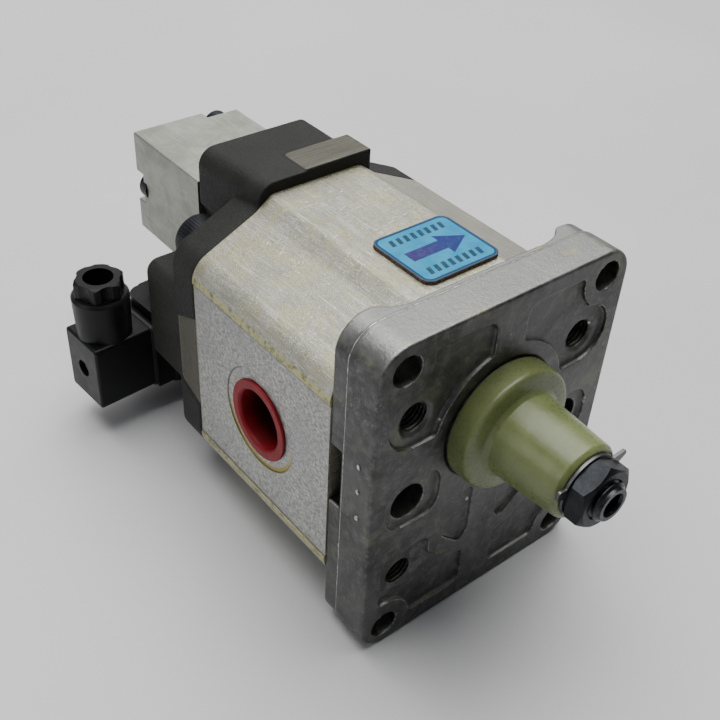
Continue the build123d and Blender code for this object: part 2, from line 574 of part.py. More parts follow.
CART_R, CART_TOP = 7.3, 32.0
TUBE_R, TUBE_IN_R = 6.3, 4.7
TUBE_Z0, TUBE_Z1 = -41.0, -8.0
POLE_Z = -19.0
STUB_Z0 = -48.0
SEAT_Z0, SEAT_Z1 = 26.6, 30.4
NEEDLE_BORE_R = 3.4


def make_cartridge_body():
    """Threaded valve body with its hexagon below the block and its ports inside it."""
    outline = [(NEEDLE_BORE_R, TUBE_Z1), (TUBE_R, TUBE_Z1), (TUBE_R, -3.6), (CART_R, -3.2), (CART_R, 16.4),
               (6.0, 16.6), (6.0, 18.4), (CART_R, 18.6), (CART_R, 29.0), (6.0, 29.2), (6.0, 30.8),
               (CART_R, 31.0), (CART_R, 31.6), (NEEDLE_BORE_R + 1.2, CART_TOP),
               (NEEDLE_BORE_R + 1.2, SEAT_Z0),
               (NEEDLE_BORE_R, SEAT_Z0)]
    part = turned_z(outline, CART_X, CART_Y)
    hexagon = Pos(CART_X, CART_Y, -3.2) * extrude(RegularPolygon(11.0, 6, major_radius=False), 8.8)
    part += hexagon - rod_z(NEEDLE_BORE_R, -5, 8, CART_X, CART_Y)
    for z in (T_CHANNEL_Z,):
        part -= rod(1.8, CART_Y - 12, CART_Y + 12, CART_X, z)
    part -= rod(1.8, CART_Y - 12, CART_Y, CART_X, P_CHANNEL_Z - 3.2)
    return part


def make_cartridge_seals():
    return Compound(children=[torus_ring(6.65, 0.63, (CART_X, CART_Y, z), (0, 0, 1)) for z in (17.5, 30.0)])


def make_valve_seat():
    return turned_z([(1.6, SEAT_Z0), (NEEDLE_BORE_R + 1.15, SEAT_Z0), (NEEDLE_BORE_R + 1.15, SEAT_Z1),
                     (2.0, SEAT_Z1)], CART_X, CART_Y)


NEEDLE_Z0, NEEDLE_TIP = 6.0, 25.0


def make_valve_needle():
    return turned_z([(0, NEEDLE_Z0), (3.3, NEEDLE_Z0), (3.3, NEEDLE_Z0 + 4), (1.9, NEEDLE_Z0 + 4.4),
                     (1.9, 21.0), (0, NEEDLE_TIP)], CART_X, CART_Y)


def make_return_spring():
    """Coil spring between the needle's collar and the underside of the seat."""
    height = 15.4
    turns = 9
    path = Helix(pitch=height / turns, height=height, radius=2.6)
    section = Plane(origin=path @ 0, z_dir=path % 0) * Circle(0.3)
    coil = sweep(section, path=path)
    return Pos(CART_X, CART_Y, NEEDLE_Z0 + 4.9) * coil


def make_push_pin():
    return rod_z(1.4, POLE_Z - 1.6, NEEDLE_Z0, CART_X, CART_Y)


def make_armature():
    part = rod_z(TUBE_IN_R - 0.06, -38.6, POLE_Z - 1.6, CART_X, CART_Y)
    for side in (-1, 1):
        part -= rod_z(0.8, -45, 0, CART_X + side * 3.2, CART_Y)
    return part


def make_armature_tube():
    """Closed pressure tube with the pole piece at its upper end and a threaded stub below."""
    outline = [(0, STUB_Z0), (3.6, STUB_Z0), (4.0, STUB_Z0 + 0.5), (4.0, TUBE_Z0), (TUBE_R, TUBE_Z0),
               (TUBE_R, TUBE_Z1), (1.48, TUBE_Z1), (1.48, POLE_Z), (TUBE_IN_R, POLE_Z), (TUBE_IN_R, -39.4),
               (0, -39.4)]
    return turned_z(outline, CART_X, CART_Y)


# ---------------------------------------------------------------- coil and connector
WINDING_R0, WINDING_R1 = 6.9, 10.2


def make_coil_winding():
    return rod_z(WINDING_R1, COIL_Z0 + 3.5, COIL_Z1 - 3.5, CART_X, CART_Y) \
        - rod_z(WINDING_R0, COIL_Z0, COIL_Z1, CART_X, CART_Y)


def make_coil_body():
    """Moulded coil: a long rounded block with a ledge and a plinth for the connector."""
    core = brick(COIL_X0, COIL_X1, COIL_Y0, COIL_Y1, COIL_Z0, COIL_Z1)
    core = fillet(core.edges().filter_by(Axis.Z), 3.0)
    ledge = brick(COIL_X0 - 4.2, COIL_X0 + 6, COIL_Y0 + 0.6, COIL_Y1 - 0.6, COIL_Z1 - 3.2, COIL_Z1)
    ledge = fillet(ledge.edges().filter_by(Axis.Z).sort_by(Axis.X)[:2], 5.0)
    plinth = brick(CONN_X1 + 1.3, COIL_X0 + 6, CONN_Y0 - 0.5, CONN_Y1 + 0.5, COIL_Z0 + 0.7, CONN_Z1 - 0.4)
    part = core + ledge + plinth
    part -= rod_z(TUBE_R + 0.1, COIL_Z0 - 1, COIL_Z1 + 1, CART_X, CART_Y)
    part -= rod_z(WINDING_R1, COIL_Z0 + 3.5, COIL_Z1 - 3.5, CART_X, CART_Y)
    part += rod_z(WINDING_R0, COIL_Z0 + 3, COIL_Z1 - 3, CART_X, CART_Y) \
        - rod_z(TUBE_R + 0.1, COIL_Z0, COIL_Z1, CART_X, CART_Y)
    part -= rod_x(1.2, CONN_X1, COIL_X0 + 1, CONN_CY, CONN_CZ)
    for y, z in BLADES:
        part -= blade(CONN_X1, COIL_X0 - 1, y, z)
    return part


CONN_CY, CONN_CZ = (CONN_Y0 + CONN_Y1) / 2, (CONN_Z0 + CONN_Z1) / 2
BLADE_W, BLADE_T = 4.8, 0.8
BLADES = [(CONN_CY, CONN_CZ + 7.0), (CONN_CY, CONN_CZ - 5.5), (CONN_CY, CONN_CZ - 8.8)]


def blade(x0, x1, y, z):
    """One flat terminal blade, or the slot it goes through."""
    return brick(x0, x1, y - BLADE_W / 2, y + BLADE_W / 2, z - BLADE_T / 2, z + BLADE_T / 2)


def make_coil_terminals():
    return Compound(children=[turned_coil(blade(CONN_X1 - 7.5, COIL_X0 - 1, y, z)) for y, z in BLADES])


def make_coil_nut():
    z0 = COIL_Z0 - 7.0
    knurled = turned_z([(4.1, z0), (7.4, z0), (8.2, z0 + 0.8), (8.2, COIL_Z0 - 0.8), (7.8, COIL_Z0 - 0.3),
                        (TUBE_R + 0.1, COIL_Z0 - 0.3), (TUBE_R + 0.1, TUBE_Z0), (4.1, TUBE_Z0)],
                       CART_X, CART_Y)
    return knurled


def make_coil_nut_seal():
    inner = TUBE_R + 0.1
    return turned_z([(inner, COIL_Z0 - 0.3), (7.6, COIL_Z0 - 0.3), (7.6, COIL_Z0), (inner, COIL_Z0)],
                    CART_X, CART_Y)


def make_connector_gasket():
    part = brick(CONN_X1, CONN_X1 + 1.3, CONN_Y0 - 0.4, CONN_Y1 + 0.4, CONN_Z0 - 0.6, CONN_Z1 + 0.3)
    part = fillet(part.edges().filter_by(Axis.X), 1.5)
    part -= rod_x(1.7, CONN_X1 - 1, CONN_X1 + 2, CONN_CY, CONN_CZ)
    for y, z in BLADES:
        part -= blade(CONN_X1 - 1, CONN_X1 + 2, y, z)
    return part


CAVITY_X0 = CONN_X0 + 5.0
SCREW_SEAT_X = CONN_X0 + 2.9
SCREW_HEAD_R, SCREW_HOLE_R = 2.3, 3.1


def make_connector_housing():
    """Hollow moulded box, open towards the coil, with the cable entry on top."""
    box = brick(CONN_X0, CONN_X1, CONN_Y0, CONN_Y1, CONN_Z0, CONN_Z1)
    box = fillet(box.edges().filter_by(Axis.X), 1.4)
    box = fillet(box.faces().sort_by(Axis.X)[0].edges(), 1.0)
    entry = turned_z([(0, CONN_Z1 - 2), (GLAND_R - 0.5, CONN_Z1 - 2), (GLAND_R, GLAND_TOP - 1.0),
                      (GLAND_R - 0.8, GLAND_TOP), (0, GLAND_TOP)], GLAND_X, GLAND_Y)
    part = box + entry
    part -= brick(CAVITY_X0, CONN_X1 + 1, CONN_Y0 + 1.6, CONN_Y1 - 1.6, CONN_Z0 + 1.6, CONN_Z1 - 1.6)
    part -= rod_z(7.5, GLAND_TOP - 11, GLAND_TOP + 1, GLAND_X, GLAND_Y)
    part -= rod_z(4.6, CONN_Z1 - 4, GLAND_TOP, GLAND_X, GLAND_Y)
    part -= rod_x(1.7, CONN_X0 - 1, CAVITY_X0 + 1, CONN_CY, CONN_CZ)
    part -= rod_x(SCREW_HOLE_R, CONN_X0 - 1, SCREW_SEAT_X, CONN_CY, CONN_CZ)
    return part


INSERT_X0, INSERT_X1 = CAVITY_X0 + 6.0, CONN_X1 - 0.2


def make_connector_insert():
    part = brick(INSERT_X0, INSERT_X1, CONN_Y0 + 1.8, CONN_Y1 - 1.8, CONN_Z0 + 1.8, CONN_Z1 - 1.8)
    part -= rod_x(1.7, INSERT_X0 - 1, INSERT_X1 + 1, CONN_CY, CONN_CZ)
    for y, z in BLADES:
        part -= blade(CONN_X1 - 7.6, INSERT_X1 + 1, y, z)
    return part


def make_connector_screw():
    part = rod_x(1.15, SCREW_SEAT_X, COIL_X0, CONN_CY, CONN_CZ)
    part += rod_x(SCREW_HEAD_R, SCREW_SEAT_X - 1.3, SCREW_SEAT_X, CONN_CY, CONN_CZ)
    slot = brick(CONN_X0 - 2, SCREW_SEAT_X - 0.7, -3, 3, -0.35, 0.35)
    return part - Pos(0, CONN_CY, CONN_CZ) * Rot(35, 0, 0) * slot


NUT_TOP_Z = GLAND_TOP + 5.9


def make_gland_nut():
    """Fluted hexagonal nut: a hexagon whose flats are scooped."""
    hexagon = RegularPolygon(8.6, 6)
    for i in range(6):
        angle = radians(30 + 60 * i)
        hexagon -= Pos(12.1 * cos(angle), 12.1 * sin(angle)) * Circle(5.1)
    hexagon = fillet(hexagon.vertices(), 0.6)
    height = NUT_TOP_Z - GLAND_TOP - 0.2
    head = Pos(GLAND_X, GLAND_Y, GLAND_TOP + 0.2) * Rot(0, 0, -10) * extrude(hexagon, height)
    head &= turned_z([(0, GLAND_TOP), (9, GLAND_TOP), (9, NUT_TOP_Z - 1.0), (7.4, NUT_TOP_Z), (0, NUT_TOP_Z)],
                     GLAND_X, GLAND_Y)
    part = head + rod_z(7.4, GLAND_TOP - 6, GLAND_TOP + 0.4, GLAND_X, GLAND_Y)
    return part - rod_z(GLAND_BORE_R, GLAND_TOP - 8, NUT_TOP_Z + 1, GLAND_X, GLAND_Y)


GLAND_BORE_R = 5.0


def make_gland_washer():
    z1 = GLAND_TOP - 6
    return rod_z(7.3, z1 - 1, z1, GLAND_X, GLAND_Y) - rod_z(4.9, z1 - 2, z1 + 1, GLAND_X, GLAND_Y)


def make_gland_seal():
    z1 = GLAND_TOP - 7
    return rod_z(7.3, z1 - 4, z1, GLAND_X, GLAND_Y) - rod_z(4.4, z1 - 5, z1 + 1, GLAND_X, GLAND_Y)


# ---------------------------------------------------------------- seals between the casings
def make_casing_seal(y0, y1):
    return slab(seal_track(SEAL_TRACK_R, SEAL_TRACK_W - 0.2), y0, y1)


def make_pressure_seal(y0):
    return slab(eight_band(PRESSURE_SEAL_R, PRESSURE_SEAL_W - 0.2), y0, y0 + PRESSURE_SEAL_T)


def turned_coil(shape):
    """Turn a coil-side piece about the cartridge's axis."""
    return Pos(CART_X, CART_Y, 0) * Rot(0, 0, COIL_TURN) * Pos(-CART_X, -CART_Y, 0) * shape


PARTS = {
    "front_flange": make_front_flange(),
    "pump_body": make_pump_body(),
    "rear_cover": make_rear_cover(),
    "drive_gear_shaft": make_drive_gear_shaft(),
    "driven_gear_shaft": make_driven_gear_shaft(),
    "shaft_key": shaft_key(),
    "front_bearing_block": make_bearing_block(BLOCK_Y0, BLOCK_Y0 + BLOCK_L, BLOCK_Y0),
    "rear_bearing_block": make_bearing_block(BLOCK_Y1 - BLOCK_L, BLOCK_Y1, BLOCK_Y1),
    "bearing_bushes": make_bearing_bushes(),
    "front_pressure_seal": make_pressure_seal(BODY_Y0),
    "rear_pressure_seal": make_pressure_seal(BODY_Y1 - PRESSURE_SEAL_T),
    "front_casing_seal": make_casing_seal(BODY_Y0 - SEAL_TRACK_DEPTH, BODY_Y0),
    "rear_casing_seal": make_casing_seal(BODY_Y1, BODY_Y1 + SEAL_TRACK_DEPTH),
    "shaft_seal": make_shaft_seal(),
    "seal_clip": make_seal_clip(),
    "protective_sleeve": make_protective_sleeve(),
    "tab_washer": make_tab_washer(),
    "shaft_nut": make_shaft_nut(),
    "tie_bolts": make_tie_bolts(),
    "tie_bolt_washers": make_tie_bolt_washers(),
    "dowel_pins": make_dowel_pins(),
    "port_plug_left": make_port_plug(-1),
    "port_plug_right": make_port_plug(1),
    "rotation_label": make_rotation_label(),
    "valve_block": make_valve_block(),
    "valve_block_screws": make_valve_block_screws(),
    "valve_block_seals": make_valve_block_seals(),
    "cartridge_body": make_cartridge_body(),
    "cartridge_seals": make_cartridge_seals(),
    "valve_seat": make_valve_seat(),
    "valve_needle": make_valve_needle(),
    "return_spring": make_return_spring(),
    "push_pin": make_push_pin(),
    "armature": make_armature(),
    "armature_tube": make_armature_tube(),
    "coil_winding": turned_coil(make_coil_winding()),
    "coil_body": turned_coil(make_coil_body()),
    "coil_terminals": make_coil_terminals(),
    "coil_nut": make_coil_nut(),
    "coil_nut_seal": make_coil_nut_seal(),
    "connector_gasket": turned_coil(make_connector_gasket()),
    "connector_housing": turned_coil(make_connector_housing()),
    "connector_insert": turned_coil(make_connector_insert()),
    "connector_screw": turned_coil(make_connector_screw()),
    "gland_nut": turned_coil(make_gland_nut()),
    "gland_washer": turned_coil(make_gland_washer()),
    "gland_seal": turned_coil(make_gland_seal()),
}

for node, solid in PARTS.items():
    save(node, solid)
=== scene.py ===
"""Looks for the hydraulic gear pump: castings, machined metal, plastics, floor, light and camera."""
import json
import math
import random

import bmesh
import bpy
from mathutils import Matrix, Vector


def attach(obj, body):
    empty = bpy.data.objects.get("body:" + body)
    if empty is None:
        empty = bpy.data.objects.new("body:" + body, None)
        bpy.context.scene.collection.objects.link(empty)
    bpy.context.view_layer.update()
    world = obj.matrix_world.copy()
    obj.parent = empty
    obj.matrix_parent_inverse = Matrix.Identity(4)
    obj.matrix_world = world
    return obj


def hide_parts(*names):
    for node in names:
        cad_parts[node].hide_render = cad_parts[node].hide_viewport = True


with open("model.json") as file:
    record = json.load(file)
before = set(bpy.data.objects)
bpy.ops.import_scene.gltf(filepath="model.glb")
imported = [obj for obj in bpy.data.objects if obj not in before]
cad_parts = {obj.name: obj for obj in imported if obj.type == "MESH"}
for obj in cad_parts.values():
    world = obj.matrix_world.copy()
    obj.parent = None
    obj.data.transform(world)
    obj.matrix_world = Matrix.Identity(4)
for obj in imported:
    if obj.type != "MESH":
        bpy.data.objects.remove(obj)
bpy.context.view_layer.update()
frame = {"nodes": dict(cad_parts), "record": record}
MM = 0.001
random.seed(7)

RECORD = frame["record"]
NODE_BODY = {n: b for b, names in RECORD["behaviour"]["bodies"].items() for n in names}
NODE_SLOT = {s["node"]: s["material_slot"] for s in RECORD["subparts"]}

FLANGE_W, FLANGE_H, FLANGE_R = 89.0, 111.8, 9.5
PARTING_Y = 12.0                # the flange's die parting line
BODY_Y1 = 84.5                  # where the body ends and the rear cover begins
PORT_Y = 51.0                   # the ports' axis
SPOT_R = 16.7                   # spot face round a port
LABEL_X, LABEL_Y, LABEL_W, LABEL_L, LABEL_R = 3.0, 34.0, 27.4, 24.8, 3.2
LABEL_TOP = 51.2
TIE_PLACES = [(sx * 30.4, sz * 29.5) for sx in (-1, 1) for sz in (-1, 1)]
BURR_PLACES = [(5.6, 17.1), (5.4, 8.2), (5.1, -1.4)]
BURR_R = 0.85


# ---------------------------------------------------------------- node graphs
class Graph:
    """A material and short ways to add and join its nodes. Lengths given in millimetres."""

    def __init__(self, name, **values):
        self.material = bpy.data.materials.new(name)
        self.material.use_nodes = True
        self.tree = self.material.node_tree
        self.tree.nodes.clear()
        self.shader = self.add("ShaderNodeBsdfPrincipled")
        output = self.add("ShaderNodeOutputMaterial")
        self.tree.links.new(self.shader.outputs["BSDF"], output.inputs["Surface"])
        self.place = self.add("ShaderNodeTexCoord").outputs["Object"]
        for key, value in values.items():
            self.feed(self.shader.inputs[key.replace("_", " ")], value)

    def add(self, kind, **settings):
        node = self.tree.nodes.new(kind)
        for key, value in settings.items():
            setattr(node, key, value)
        return node

    def feed(self, socket, value):
        if isinstance(value, bpy.types.NodeSocket):
            self.tree.links.new(value, socket)
        elif isinstance(value, tuple) and len(value) == 3 and socket.type == "RGBA":
            socket.default_value = (*value, 1.0)
        else:
            socket.default_value = value

    def set(self, **values):
        for key, value in values.items():
            self.feed(self.shader.inputs[key.replace("_", " ")], value)
        return self

    def math(self, operation, a, b=0.0, c=None, clamp=False):
        node = self.add("ShaderNodeMath", operation=operation, use_clamp=clamp)
        self.feed(node.inputs[0], a)
        self.feed(node.inputs[1], b)
        if c is not None:
            self.feed(node.inputs[2], c)
        return node.outputs[0]

    def axes(self):
        """The object coordinates' x, y and z in millimetres."""
        if not hasattr(self, "_axes"):
            node = self.add("ShaderNodeSeparateXYZ")
            self.feed(node.inputs[0], self.place)
            self._axes = [self.math("MULTIPLY", node.outputs[i], 1000.0) for i in range(3)]
        return self._axes

    def facing(self):
        """The surface normal's x, y and z."""
        if not hasattr(self, "_facing"):
            node = self.add("ShaderNodeSeparateXYZ")
            self.feed(node.inputs[0], self.add("ShaderNodeNewGeometry").outputs["Normal"])
            self._facing = [node.outputs[i] for i in range(3)]
        return self._facing

    def stretched(self, x, y, z, turn=(0.0, 0.0, 0.0)):
        node = self.add("ShaderNodeMapping")
        self.feed(node.inputs["Vector"], self.place)
        node.inputs["Scale"].default_value = (x, y, z)
        node.inputs["Rotation"].default_value = turn
        return node.outputs[0]

    def noise(self, size, detail=4.0, rough=0.55, twist=0.0, place=None):
        """Noise whose features are about size millimetres across."""
        node = self.add("ShaderNodeTexNoise")
        self.feed(node.inputs["Vector"], place or self.place)
        node.inputs["Scale"].default_value = 1000.0 / size
        node.inputs["Detail"].default_value = detail
        node.inputs["Roughness"].default_value = rough
        node.inputs["Distortion"].default_value = twist
        return node.outputs["Fac"]

    def cells(self, size, feature="F1", place=None):
        node = self.add("ShaderNodeTexVoronoi", feature=feature)
        self.feed(node.inputs["Vector"], place or self.place)
        node.inputs["Scale"].default_value = 1000.0 / size
        return node.outputs["Distance"]

    def span(self, value, low, high, to_low=0.0, to_high=1.0):
        node = self.add("ShaderNodeMapRange", interpolation_type="SMOOTHSTEP")
        for i, v in enumerate((value, low, high, to_low, to_high)):
            self.feed(node.inputs[i], v)
        return node.outputs[0]

    def within(self, value, low, high, soft=0.15):
        """1 where value lies between low and high."""
        up = self.span(value, low - soft, low + soft)
        down = self.span(value, high - soft, high + soft, 1.0, 0.0)
        return self.math("MULTIPLY", up, down)

    def both(self, *masks):
        result = masks[0]
        for mask in masks[1:]:
            result = self.math("MULTIPLY", result, mask)
        return result

    def mix(self, share, a, b, blend="MIX"):
        node = self.add("ShaderNodeMix", data_type="RGBA", blend_type=blend)
        self.feed(node.inputs["Factor"], share)
        self.feed(node.inputs["A"], a)
        self.feed(node.inputs["B"], b)
        return node.outputs["Result"]

    def blend(self, share, a, b):
        node = self.add("ShaderNodeMix", data_type="FLOAT")
        self.feed(node.inputs["Factor"], share)
        self.feed(node.inputs["A"], a)
        self.feed(node.inputs["B"], b)
        return node.outputs["Result"]

    def worn(self, low=0.51, high=0.58):
        """1 on convex edges, 0 on flat and hollow places."""
        return self.span(self.add("ShaderNodeNewGeometry").outputs["Pointiness"], low, high)

    def hollow_mask(self, low=0.49, high=0.43):
        """1 in hollow corners."""
        return self.span(self.add("ShaderNodeNewGeometry").outputs["Pointiness"], low, high)

    def bump(self, height, depth, strength=1.0, under=None):
        """Raise the surface by height times depth millimetres."""
        node = self.add("ShaderNodeBump")
        node.inputs["Strength"].default_value = strength
        node.inputs["Distance"].default_value = depth * MM
        self.feed(node.inputs["Height"], height)
        if under is not None:
            self.feed(node.inputs["Normal"], under)
        return node.outputs["Normal"]


def cast_flange():
    """Aluminium casting: mottled grey, dark in hollows, bright and ragged on its edges; painted light on its
    upward faces and painted shade in the wells at its sides.
    """
    g = Graph("flange_casting", Metallic=0.86)
    x, y, z = g.axes()
    nz = g.facing()[2]
    cloud = g.noise(22, 5, 0.6, 0.6)
    mottle = g.noise(3.2, 6, 0.62)
    grain = g.noise(0.5, 3, 0.6)
    color = g.mix(g.span(cloud, 0.32, 0.68), (0.044, 0.046, 0.043), (0.088, 0.090, 0.085))
    color = g.mix(g.span(mottle, 0.42, 0.68, 0.0, 0.6), color, (0.17, 0.17, 0.165))
    # painted light: faces that point up are mixed toward a pale grey
    painted_top_light = g.span(nz, 0.3, 0.9)
    color = g.mix(g.math("MULTIPLY", painted_top_light, 0.55), color, (0.36, 0.36, 0.340))
    oily = g.span(g.noise(9, 4, 0.6, 1.0), 0.54, 0.70)
    oil = g.math("MULTIPLY", oily, g.span(nz, 0.2, 0.9, 0.2, 0.75))
    color = g.mix(oil, color, (0.30, 0.29, 0.17))
    specks = g.span(g.cells(2.6), 0.10, 0.04)
    color = g.mix(g.math("MULTIPLY", specks, 0.5), color, (0.06, 0.06, 0.06))
    # darker in hollow corners
    color = g.mix(g.math("MULTIPLY", g.hollow_mask(), 0.55), color, (0.06, 0.06, 0.055))
    ragged = g.math("MULTIPLY", g.worn(0.515, 0.575), g.span(g.noise(1.6, 4, 0.7), 0.35, 0.6))
    color = g.mix(g.math("MULTIPLY", ragged, 0.8), color, (0.60, 0.60, 0.58))
    crust = g.both(g.span(g.noise(1.1, 5, 0.75, 0.5), 0.56, 0.68), g.span(g.noise(13, 3, 0.5), 0.45, 0.6))
    color = g.mix(g.math("MULTIPLY", crust, 0.5), color, (0.36, 0.36, 0.345))
    # painted shade: a near-black patch inside the well on each side, behind the parting line
    painted_well_shade = g.both(g.within(g.math("ABSOLUTE", x), 33.0, 43.4, 0.3), g.within(y, 12.9, 18.2, 0.2),
                  g.span(g.math("ABSOLUTE", g.math("SUBTRACT", z, 5.5)), 12.5, 11.0))
    color = g.mix(g.math("MULTIPLY", painted_well_shade, 0.9), color, (0.008, 0.008, 0.008))
    flow = g.noise(1.4, 4, 0.6, 0.2, g.stretched(1.0, 0.12, 0.5))
    rough = g.math("ADD", g.span(mottle, 0.3, 0.7, 0.34, 0.52), g.math("MULTIPLY", ragged, -0.1))
    normal = g.bump(g.noise(7, 4, 0.5), 0.22, 0.5)
    normal = g.bump(flow, 0.08, 0.55, normal)
    normal = g.bump(grain, 0.10, 0.7, normal)
    normal = g.bump(g.noise(1.6, 6, 0.7), 0.22, 0.7, normal)
    normal = g.bump(g.math("SUBTRACT", 1.0, specks), 0.06, 0.5, normal)
    return g.set(Base_Color=color, Roughness=rough, Normal=normal).material


def extruded_body():
    """Extruded light alloy with long scratches and oil; its port faces are milled."""
    g = Graph("body_casting", Metallic=0.88)
    x, y, z = g.axes()
    nx = g.facing()[0]
    side = g.math("ABSOLUTE", x)
    milled = g.both(g.within(side, 44.1, 44.62, 0.06), g.span(g.math("ABSOLUTE", nx), 0.9, 0.97))
    streak = g.noise(1.9, 5, 0.62, 0.25, g.stretched(1.0, 0.07, 1.0))
    scratch = g.noise(0.5, 3, 0.7, 0.1, g.stretched(1.0, 0.04, 1.0))
    cloud = g.noise(14, 5, 0.62, 0.8)
    fine = g.noise(0.7, 4, 0.7)
    peened = g.noise(0.6, 9, 0.82)
    color = g.mix(g.span(cloud, 0.32, 0.68), (0.345, 0.335, 0.262), (0.465, 0.455, 0.385))
    color = g.mix(g.span(streak, 0.35, 0.62, 0.65, 0.0), color, (0.30, 0.29, 0.24))
    color = g.mix(g.span(peened, 0.47, 0.60, 0.0, 0.4), color, (0.62, 0.615, 0.56))
    crisp = g.noise(0.6, 8, 0.85, 0.0, g.stretched(1.0, 0.2, 1.0))
    color = g.mix(g.span(crisp, 0.48, 0.40, 0.0, 0.55), color, (0.20, 0.195, 0.150))
    color = g.mix(g.span(g.noise(20, 4, 0.6, 1.5), 0.48, 0.62, 0.0, 0.6), color, (0.43, 0.405, 0.245))
    color = g.mix(g.span(g.noise(7, 5, 0.7, 1.2), 0.57, 0.66, 0.0, 0.6), color, (0.38, 0.345, 0.16))
    dark = g.span(g.noise(2.1, 7, 0.78, 0.8), 0.60, 0.70)
    color = g.mix(g.math("MULTIPLY", dark, 0.45), color, (0.20, 0.19, 0.15))
    scrape = g.noise(0.45, 3, 0.7, 0.2, g.stretched(0.12, 1.0, 1.0, (0.0, 0.0, 0.6)))
    scraped = g.both(g.span(scrape, 0.58, 0.68), g.span(g.noise(11, 3, 0.5), 0.5, 0.6))
    color = g.mix(scraped, color, (0.85, 0.85, 0.83))
    color = g.mix(g.span(scratch, 0.56, 0.70, 0.0, 0.5), color, (0.80, 0.80, 0.76))
    face = g.noise(0.95, 9, 0.84, 0.5, g.stretched(1.0, 0.75, 1.0, (0.5, 0.0, 0.0)))
    mill_color = g.mix(g.span(face, 0.44, 0.57), (0.25, 0.25, 0.235), (0.58, 0.58, 0.56))
    patches = g.span(g.noise(17, 4, 0.6, 1.0), 0.45, 0.65, 0.0, 0.4)
    mill_color = g.mix(patches, mill_color, (0.33, 0.325, 0.35))
    mill_color = g.mix(g.span(g.noise(8, 6, 0.7, 0.9), 0.52, 0.66, 0.0, 0.35), mill_color, (0.40, 0.39, 0.32))
    pits = g.span(g.noise(1.1, 8, 0.85, 0.6), 0.60, 0.66)
    mill_color = g.mix(g.math("MULTIPLY", pits, 0.7), mill_color, (0.17, 0.17, 0.155))
    stain = g.both(g.span(z, -14, -27), g.span(g.noise(1.8, 6, 0.75, 0.4), 0.52, 0.64))
    mill_color = g.mix(g.math("MULTIPLY", stain, 0.45), mill_color, (0.15, 0.15, 0.13))
    color = g.mix(milled, color, mill_color)
    dy = g.math("SUBTRACT", y, PORT_Y)
    from_port = g.math("SQRT", g.math("ADD", g.math("MULTIPLY", dy, dy), g.math("MULTIPLY", z, z)))
    rim = g.both(g.within(from_port, SPOT_R - 1.3, SPOT_R + 0.3, 0.3), g.span(side, 43.9, 44.0),
                 g.span(z, 3, -12))
    color = g.mix(g.math("MULTIPLY", rim, 0.9), color, (0.36, 0.30, 0.04))
    groove = g.both(g.within(from_port, SPOT_R - 0.3, SPOT_R + 0.2, 0.12), g.span(side, 43.9, 44.0))
    color = g.mix(g.math("MULTIPLY", groove, 0.6), color, (0.14, 0.13, 0.09))
    height = g.math("ABSOLUTE", z)
    # a dark, ragged line where the milled face meets the lip
    lip_edge_line = g.both(g.within(height, 28.3, 29.15, 0.12), g.span(side, 43.4, 44.0), g.span(face, 0.40, 0.52))
    color = g.mix(g.math("MULTIPLY", lip_edge_line, 0.7), color, (0.09, 0.085, 0.045))
    ridge = g.both(g.within(height, 29.15, 31.8, 0.3), g.span(side, 43.2, 43.8))
    lip = g.mix(g.span(g.noise(2.8, 7, 0.75, 0.5), 0.40, 0.52), (0.20, 0.18, 0.07), (0.50, 0.49, 0.25))
    color = g.mix(g.math("MULTIPLY", ridge, 0.85), color, lip)
    rear_edge = g.math("MULTIPLY", g.span(y, BODY_Y1 - 1.1, BODY_Y1 - 0.1), 0.45)
    color = g.mix(rear_edge, color, (0.33, 0.30, 0.12))
    rough = g.blend(milled, g.span(peened, 0.4, 0.6, 0.40, 0.26), g.span(fine, 0.3, 0.7, 0.34, 0.48))
    normal = g.bump(g.noise(6, 4, 0.5), 0.25, 0.35)
    normal = g.bump(streak, 0.12, 0.6, normal)
    normal = g.bump(peened, 0.09, 0.7, normal)
    normal = g.bump(crisp, 0.05, 0.7, normal)
    normal = g.bump(face, 0.24, 0.9, normal)
    return g.set(Base_Color=color, Roughness=rough, Normal=normal).material


